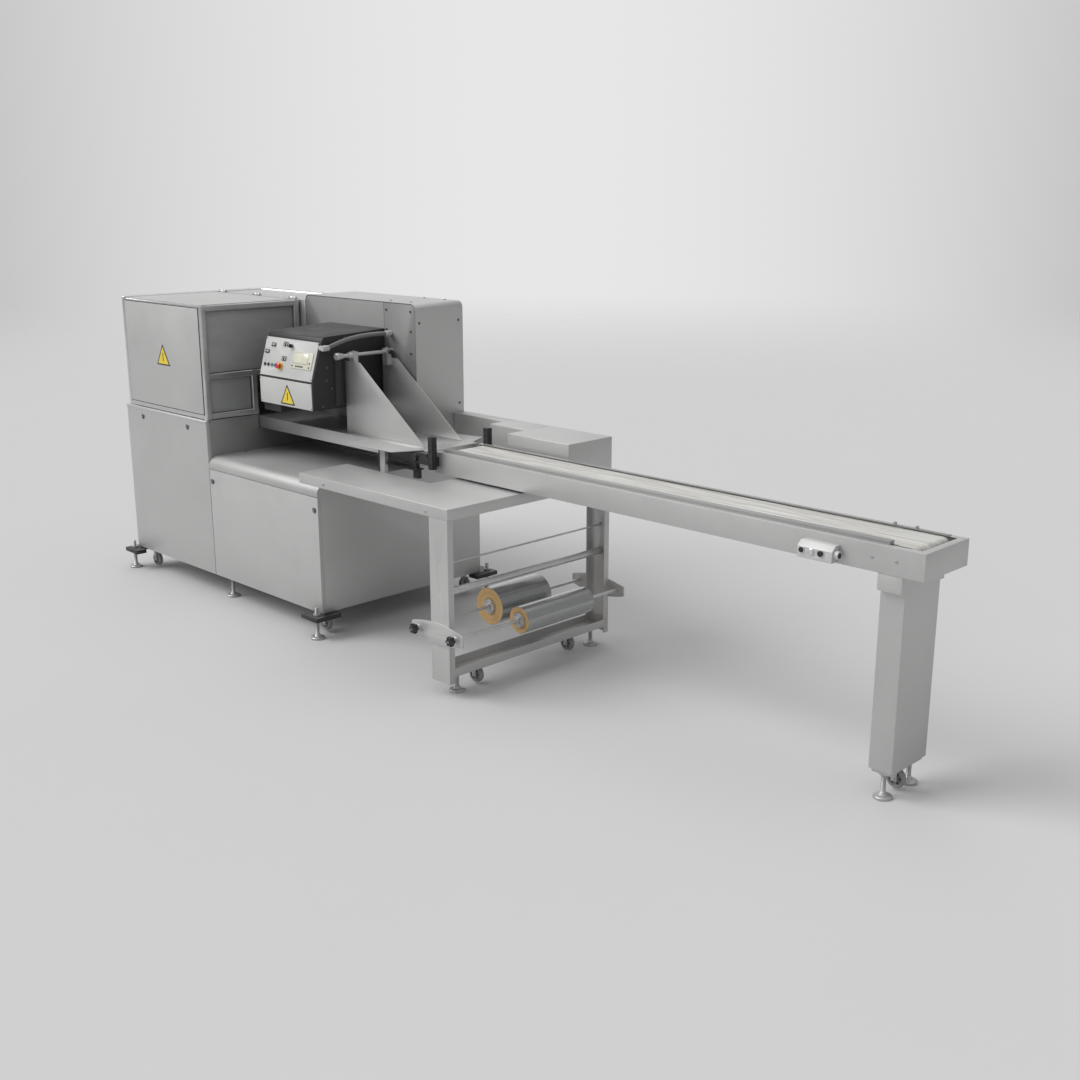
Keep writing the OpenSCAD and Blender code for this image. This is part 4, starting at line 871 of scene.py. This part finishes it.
def control_panel():
    """The panels' plates with everything that sits on them."""
    plates = cad_copy("control_panels", 0.0007)
    piece(plates, "control_panel_plates", "machine", LIGHT_PANEL, ("control_panels",))
    instrument(-1.139, 0.152, 0.034, 0.018, METER_FACE, "meter_upper")
    instrument(-1.185, 0.117, 0.034, 0.018, METER_FACE, "meter_lower")
    for row, (x, up) in enumerate([(-1.042, 0.162), (-1.035, 0.093)], 1):
        for side in (-1, 1):
            instrument(x + side * 0.009, up, 0.0155, 0.022, METER_FACE, f"lamp_{row}_{'ab'[side > 0]}")
    for i, (x, finish, slot) in enumerate([
        (-1.182, BLACK_PLASTIC, "black_plastic"), (-1.153, BLACK_PLASTIC, "black_plastic"),
        (-1.124, GREEN_PLASTIC, "green_plastic"), (-1.097, BLUE_PLASTIC, "blue_plastic"),
    ], 1):
        node = f"panel_button_{i}"
        press_key(node + "_cap", 0.008, 0.006, finish, f"panel_key_{i}", node, on_panel(x, 0.054))
    # emergency stop: red mushroom on a yellow ring
    stop = on_panel(-1.055, 0.054)
    ring = turned([(0.0092, 0), (0.0195, 0), (0.0195, -0.003), (0.0175, -0.0046), (0.0092, -0.0046)],
                  closed=True)
    piece(ring, "stop_ring", "machine", YELLOW_PLASTIC, place=stop)
    angles = [i * math.pi / 12 for i in range(1, 6)]
    dome = [(0.016 * math.cos(angle), -0.0165 - 0.0055 * math.sin(angle)) for angle in angles]
    head = turned([(0, 0.016), (0.008, 0.016), (0.008, -0.0115), (0.0148, -0.0132), (0.016, -0.0150)]
                  + dome + [(0, -0.022)], steps=48)
    piece(head, "stop_mushroom_head", "stop_mushroom", RED_PLASTIC,
          ("emergency_stop",), place=stop)
    # selector: turning handle with a pale pointer on a bright collar
    spot = on_panel(-0.990, 0.155)
    collar = turned([(0.0062, 0), (0.0125, 0), (0.0125, -0.0022), (0.0108, -0.0040), (0.0062, -0.0040)],
                    closed=True)
    piece(collar, "selector_collar", "machine", PROFILE, place=spot)
    base = turned([(0, 0.014), (0.005, 0.014), (0.005, -0.005), (0.009, -0.0056), (0.009, -0.0145),
                   (0.0080, -0.016), (0, -0.016)], steps=36)
    handle = block((-0.0034, -0.021, -0.0088), (0.0034, -0.014, 0.0088), 0.0014, 3)
    pointer = block((-0.0006, -0.0214, 0.001), (0.0006, -0.0205, 0.0082), 0.0002)
    knob = joined([painted(base, BLACK_PLASTIC), painted(handle, BLACK_PLASTIC), painted(pointer, IVORY)])
    piece(knob, "selector_handle", "selector", None, ("selector_knob",), place=spot)
    operator_display()
    corners = []
    for x in (-1.207, -0.795):
        corners += [on_panel(x, up) for up in (0.012, 0.182)]
        corners += [at(x, PANEL_FOOT.y - PANEL_SHEET, z) for z in (1.022, 1.132)]
    screws = repeated(screw_head(0.0028, 0.0016), corners)
    piece(joined(screws), "panel_corner_screws", "machine", None)


def operator_display():
    """Cream operator display: raised rim, sunk screen, a row of small keys and two at its side."""
    width, height = 0.160, 0.082
    body = block((-width / 2, -0.004, -height / 2), (width / 2, -0.0001, height / 2), 0.0016, 3)
    rim = block((-0.074, -0.0046, -0.018), (0.048, -0.0035, 0.037), 0.0005)
    screen = block((-0.070, -0.0050, -0.014), (0.044, -0.0040, 0.033), 0.0003)
    parts = [painted(body, IVORY), painted(rim, FITTING), painted(screen, SCREEN)]
    key = block((-0.0042, -0.0056, -0.0036), (0.0042, -0.0036, 0.0036), 0.0008)
    row = [(-0.070, -0.030)] + [(-0.040 + 0.013 * i, -0.030) for i in range(5)]
    beside = [(0.063, -0.030), (0.063, -0.010)]
    parts += repeated(painted(key, BLACK_PLASTIC), [at(x, 0, z) for x, z in row + beside])
    place = on_panel(-0.887, 0.095)
    piece(joined(parts), "display_unit", "machine", None, ("operator_display",), place=place)


# ---- hoses ----

CONDUIT_ROUTE = [
    (-0.752, -0.238, 1.305), (-0.748, -0.215, 1.312), (-0.745, -0.170, 1.326), (-0.742, -0.116, 1.339),
    (-0.738, -0.050, 1.348), (-0.734, 0.010, 1.351), (-0.731, 0.060, 1.351), (-0.730, 0.104, 1.350),
]


def hose():
    """Fixed conduit from the control box to the casing: ribbed hose between two fittings."""
    curve = bpy.data.curves.new("conduit_path", "CURVE")
    curve.dimensions = "3D"
    line = curve.splines.new("NURBS")
    line.points.add(len(CONDUIT_ROUTE) - 1)
    for point, spot in zip(line.points, CONDUIT_ROUTE):
        point.co = (*spot, 1)
    line.use_endpoint_u = True
    line.order_u = 4
    line.resolution_u = 24
    curve.bevel_depth = 0.0098
    curve.bevel_resolution = 5
    tube = bpy.data.objects.new("conduit_tube", curve)
    bpy.context.scene.collection.objects.link(tube)
    only(tube)
    bpy.ops.object.convert(target="MESH")
    tube = painted(bpy.context.active_object, GREY_HOSE)
    rib = turned([(0.0094, -0.0012), (0.0105, -0.0006), (0.0105, 0.0006), (0.0094, 0.0012)],
                 steps=20, closed=True)
    spots = [Vector(point) for point in CONDUIT_ROUTE]
    rib_pitch = 0.0052
    places = []
    for before, after in zip(spots, spots[1:]):
        count = max(1, round((after - before).length / rib_pitch))
        turn = (after - before).to_track_quat("Y", "Z").to_matrix().to_4x4()
        for i in range(count):
            places.append(Matrix.Translation(before.lerp(after, i / count)) @ turn)
    ribs = painted(joined(repeated(rib, places)), GREY_HOSE)
    nut = prism(6, 0.0150, -0.0255, -0.0150, 0.0010)
    sleeve = turned([(0, -0.036), (0.0118, -0.036), (0.0132, -0.033), (0.0132, 0.0), (0, 0.0)], steps=32)
    elbow = joined([painted(nut, FITTING), painted(sleeve, FITTING)])
    first = copied(elbow, at(-0.752, -0.226, 1.305))
    stub = turned([(0, 0), (0.012, 0), (0.012, -0.026), (0.0105, -0.028), (0, -0.028)], steps=32)
    stub = settle(painted(stub, FITTING), at(CONTROL_RIGHT, -0.250, 1.304, TO_RIGHT))
    last = settle(elbow, at(-0.730, 0.128, 1.350))
    piece(joined([tube, ribs, first, stub, last]), "conduit_hose", "machine", None, ("conduit",))


# ---- film stand ----

def lobed_knob():
    """Black hand knob with six lobes on a bright collar, facing -Y, its front at Y 0."""
    body = turned([(0, 0), (0.011, 0.0004), (0.0190, 0.003), (0.0220, 0.0078), (0.0220, 0.0203),
                   (0.0192, 0.0245), (0.009, 0.025), (0, 0.025)], steps=72)
    for vertex in body.data.vertices:
        angle = math.atan2(vertex.co.z, vertex.co.x)
        reach = math.hypot(vertex.co.x, vertex.co.z)
        dip = 0.0046 * (0.5 - 0.5 * math.cos(6 * angle)) * min(1.0, reach / 0.018)
        scale = (reach - dip) / reach if reach > 1e-5 else 1
        vertex.co.x *= scale
        vertex.co.z *= scale
    cap = turned([(0.0062, 0.0006), (0.0050, 0.0002), (0, 0.0)], steps=24)
    return joined([painted(body, BLACK_PLASTIC), painted(cap, ZINC)])


def stand_hardware():
    """Roll shafts with washers and nuts, the web roller's axle, the tie rod and two hand knobs."""
    near, far = END_PLATES[0].y, END_PLATES[1].y
    parts = []
    for x, _ in ROLLS.values():
        shaft = turned([(0, KNOB_Y + 0.012), (0.0066, KNOB_Y + 0.012), (0.007, KNOB_Y + 0.014),
                        (0.007, far + 0.0125), (0.0058, far + 0.014), (0, far + 0.014)], steps=32)
        washer = turned([(0.0072, near), (0.0150, near), (0.0150, near - 0.0026),
                         (0.0136, near - 0.0036), (0.0110, near - 0.0040), (0.0110, near - 0.0078),
                         (0.0072, near - 0.0080)], closed=True)
        nut = settle(prism(6, 0.0132, far, far + 0.008, 0.0009))
        for part in (shaft, washer, nut):
            parts.append(settle(painted(part, ROD), at(x, 0, SHAFT_Z)))
    for z, radius in ((0.436, 0.006), (0.557, 0.004)):
        rod = turned([(0, -0.558), (radius - 0.0006, -0.558), (radius, -0.5574), (radius, 0.3984),
                      (radius - 0.0006, 0.399), (0, 0.399)], steps=24)
        parts.append(settle(painted(rod, ROD), at(STAND_X, 0, z)))
        lock = painted(prism(6, radius + 0.0055, 0.0, 0.006, 0.0007), ZINC)
        parts += repeated(lock, [at(STAND_X, y, z) for y in (-0.555, 0.390)])
    piece(joined(parts), "roll_shafts", "machine", None, ("stand_shafts",))
    knobs = repeated(lobed_knob(), [at(x, KNOB_Y, SHAFT_Z) for x, _ in ROLLS.values()])
    piece(joined(knobs), "roll_knobs", "machine", None)


def film_roll(place, y0, y1):
    """Film wound on a board core from y0 to y1, gripped by a bolted chuck at each end."""
    x, radius = ROLLS[place]
    core = 0.038
    edge = wound_edge("wound_edge_" + place, x)
    soft = 0.0012
    wrap = turned([(radius - soft, y0), (radius, y0 + soft), (radius, y1 - soft), (radius - soft, y1)],
                  steps=96)
    ends = []
    for y, inward in ((y0, 1), (y1, -1)):
        ends.append(turned([(radius - soft, y), (radius * 0.8, y + inward * 0.0004), (core + 0.001, y),
                            (core, y - inward * 0.0022), (core - 0.0035, y - inward * 0.0022),
                            (core - 0.0042, y + inward * 0.0030), (0.030, y + inward * 0.0030)], steps=96))
    parts = [painted(wrap, FILM)] + [painted(end, edge) for end in ends]
    for y, out in ((y0, -1), (y1, 1)):
        chuck = turned([(0.0071, y - out * 0.004), (0.0330, y - out * 0.004), (0.0330, y + out * 0.0045),
                        (0.0315, y + out * 0.006), (0.0195, y + out * 0.006), (0.0140, y + out * 0.009),
                        (0.0140, y + out * 0.0152), (0.0128, y + out * 0.016), (0.0071, y + out * 0.016)],
                       steps=48, closed=True)
        parts.append(painted(chuck, ZINC))
        bolt = painted(prism(6, 0.0032, 0.0, 0.0028, 0.0004), TOOL_STEEL)
        seat = y + (0.006 if out > 0 else -0.0088)
        parts += repeated(bolt, ring_of(4, 0.0262, seat, 45))
    name = "film_roll_" + place
    piece(joined(parts), name + "_wound", "roll_" + place, None, (name,),
          place=at(x, 0, SHAFT_Z), angle=40)


# ---- feet and wheels ----

def levelling_foot(stud_top, nuts):
    """Foot disc with a ball neck, a threaded stud and hexagon nuts, standing at the origin."""
    profile = [(0, 0), (0.0315, 0), (0.033, 0.0016), (0.033, 0.0080), (0.0318, 0.0098), (0.0280, 0.0120),
               (0.0165, 0.0138), (0.0142, 0.0160), (0.0130, 0.0205), (0.0112, 0.0235), (0.0092, 0.0250)]
    z = 0.0262
    while z < stud_top - 0.004:
        profile += [(0.0090, z), (0.0090, z + 0.0008), (0.0080, z + 0.0018), (0.0080, z + 0.0024)]
        z += 0.0034
    profile += [(0.0084, stud_top - 0.0016), (0.0070, stud_top), (0, stud_top)]
    foot = settle(turned([(radius, -height) for radius, height in profile], steps=32), TO_TOP)
    parts = [foot] + [settle(prism(6, 0.01730, -z - 0.010, -z, 0.0009), TO_TOP) for z in nuts]
    return joined([painted(part, ZINC) for part in parts])


def feet():
    """Ten levelling feet: the stud's top, the heights of its nuts, and the places of each kind."""
    made = []
    for stud_top, nuts, spots in [
        (0.150, (0.080, 0.110), [(x, y) for x in (-2.250, -0.551) for y in (-0.498, 0.573)]),
        (0.114, (0.102,), [(-1.4005, -0.413), (-1.4005, 0.466)]),
        (0.088, (0.078,), [(STAND_X, -0.475), (STAND_X, 0.338)]),
        (0.095, (0.085,), [(LEG_X, -0.101), (LEG_X, 0.069)]),
    ]:
        made += repeated(levelling_foot(stud_top, nuts), [at(x, y, 0) for x, y in spots])
    piece(joined(made), "foot_set", "machine", None, ("levelling_feet",))


def caster_wheel(i):
    """Grey wheel: crowned tread, sunk web with six bosses and a plain bearing hub."""
    x, y = CASTERS[i - 1]
    half = 0.012
    tread = turned([
        (0.00405, -half), (0.0108, -half), (0.0114, -0.0112), (0.0124, -0.0062), (0.0236, -0.0058),
        (0.0252, -0.0112), (0.0262, -half), (0.0318, -half), (0.0346, -0.0094), (0.0360, -0.0050),
        (0.0360, 0.0050), (0.0346, 0.0094), (0.0318, half), (0.0262, half), (0.0252, 0.0112),
        (0.0236, 0.0058), (0.0124, 0.0062), (0.0114, 0.0112), (0.0108, half), (0.00405, half)],
        steps=48, closed=True)
    boss = painted(prism(16, 0.0036, -0.0090, 0.0090, 0.0006), BLACK_PLASTIC)
    parts = [painted(tread, WHEEL_GREY)] + repeated(boss, ring_of(6, 0.0182, 0))
    name = f"caster_wheel_{i}"
    piece(joined(parts), name + "_tread", f"wheel_{i}", None, (name,),
          place=at(x, y, 0.046))


# ---- switch box and small parts ----

def switch_box():
    """Switch box on the conveyor: its case, two keys, the ring between them and the cable gland."""
    box = cad_copy("switch_box", 0.0016)
    piece(box, "switch_box_case", "machine", SWITCH_STEEL, ("switch_box",))
    front = SWITCH[0].y + 0.005
    for key, x, radius, cap in [("start", 1.862, 0.009, 0.006), ("stop", 1.938, 0.010, 0.008)]:
        press_key(key + "_cap", radius, cap, BLACK_PLASTIC, key + "_key",
                  key + "_button", at(x, front, SWITCH_Z))
    ring = turned([(0.0078, 0), (0.0118, 0), (0.0118, -0.0030), (0.0100, -0.0048), (0.0086, -0.0052),
                   (0.0078, -0.0044)], closed=True)
    piece(ring, "switch_key_ring", "machine", PROFILE, place=at(1.900, front, SWITCH_Z))
    gland = turned([(0, 0), (0.0152, 0), (0.0152, -0.006), (0.0128, -0.008), (0.0128, -0.0145),
                    (0.0100, -0.0165), (0, -0.0165)], steps=10)
    piece(gland, "switch_gland", "machine", BLACK_PLASTIC,
          place=at(1.981, -0.183, SWITCH_Z, TO_RIGHT), angle=20)


def rod_and_grip():
    """Cross rod of the side guides, with its stepped steel grip and the dark socket in its end."""
    rod = turned([(0, -0.206), (0.0084, -0.206), (0.009, -0.2052), (0.009, 0.129), (0, 0.129)], steps=36)
    grip = turned([(0, -0.212), (0.0125, -0.212), (0.0160, -0.2095), (0.0170, -0.205),
                   (0.0170, -0.1885), (0.0158, -0.1862), (0.0130, -0.1860), (0.0130, -0.1705),
                   (0.0118, -0.168), (0, -0.168)], steps=20)
    socket = turned([(0, -0.2125), (0.0030, -0.2125), (0.0034, -0.2118), (0.0102, -0.2118),
                     (0.0112, -0.2130), (0.0126, -0.2130), (0.0130, -0.2118), (0.0130, -0.2100),
                     (0, -0.2100)], steps=28)
    parts = [painted(rod, ROD), painted(grip, STEEL), painted(socket, BLACK_PLASTIC)]
    piece(joined(parts), "guide_cross_rod", "machine", None, ("guide_rod",),
          place=at(ROD_X, 0, ROD_Z))


# ---- studio ----

def studio():
    """Pale floor, lit backdrop and two broad soft lamps: direction, angle in degrees, strength."""
    bpy.ops.object.select_all(action="DESELECT")
    bpy.ops.mesh.primitive_plane_add(size=160, location=(0, 0, 0))
    floor = bpy.context.active_object
    floor.name = "studio_floor"
    painted(floor, studio_floor())
    world = bpy.data.worlds.new("studio_dome")
    bpy.context.scene.world = world
    world.use_nodes = True
    board = Board(world.node_tree)
    direction = board.node("ShaderNodeTexCoord", out="Generated")
    background = world.node_tree.nodes["Background"]
    world.node_tree.links.new(board.glow(direction).socket, background.inputs["Color"])
    for name, source, angle, strength in [
        ("key", (-0.50, -0.56, 0.66), 40, 1.9),
        ("overhead", (0.05, -0.05, 1.0), 90, 0.8),
    ]:
        lamp = bpy.data.lights.new(name, "SUN")
        lamp.angle = math.radians(angle)
        lamp.energy = strength
        holder = bpy.data.objects.new(name, lamp)
        holder.location = Vector(source) * 8
        holder.rotation_euler = Vector(source).to_track_quat("Z", "Y").to_euler()
        bpy.context.scene.collection.objects.link(holder)


def camera():
    """Three-quarter view from the right of the operator's side, looking 15 degrees down."""
    azimuth, elevation = math.radians(45), math.radians(15)
    level = math.cos(elevation)
    back = Vector((math.sin(azimuth) * level, -math.cos(azimuth) * level, math.sin(elevation)))
    lens = bpy.data.cameras.new("camera")
    lens.sensor_width = 36
    lens.lens = 43.456
    lens.clip_end = 300
    holder = bpy.data.objects.new("camera", lens)
    holder.location = CAMERA_AT
    holder.rotation_euler = back.to_track_quat("Z", "Y").to_euler()
    bpy.context.scene.collection.objects.link(holder)
    bpy.context.scene.camera = holder


camera()
studio()
bpy.context.scene.view_settings.view_transform = "Standard"
painted(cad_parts["bed_cable"], RUBBER)     # the only CAD node that is shown as it is
body_work()
rear_work()
fasteners()
control_panel()
hose()
stand_hardware()
film_roll("rear", -0.167, 0.133)
film_roll("front", -0.209, 0.193)
feet()
for number in range(1, len(CASTERS) + 1):
    caster_wheel(number)
switch_box()
rod_and_grip()
guide_knob()
sign("hood_sign", "hood", -1.856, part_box("hood_panels")[0].y, 1.182, 0.130)
sign("control_sign", "machine", -0.985, PANEL_FOOT.y - PANEL_SHEET, 1.056, 0.117)
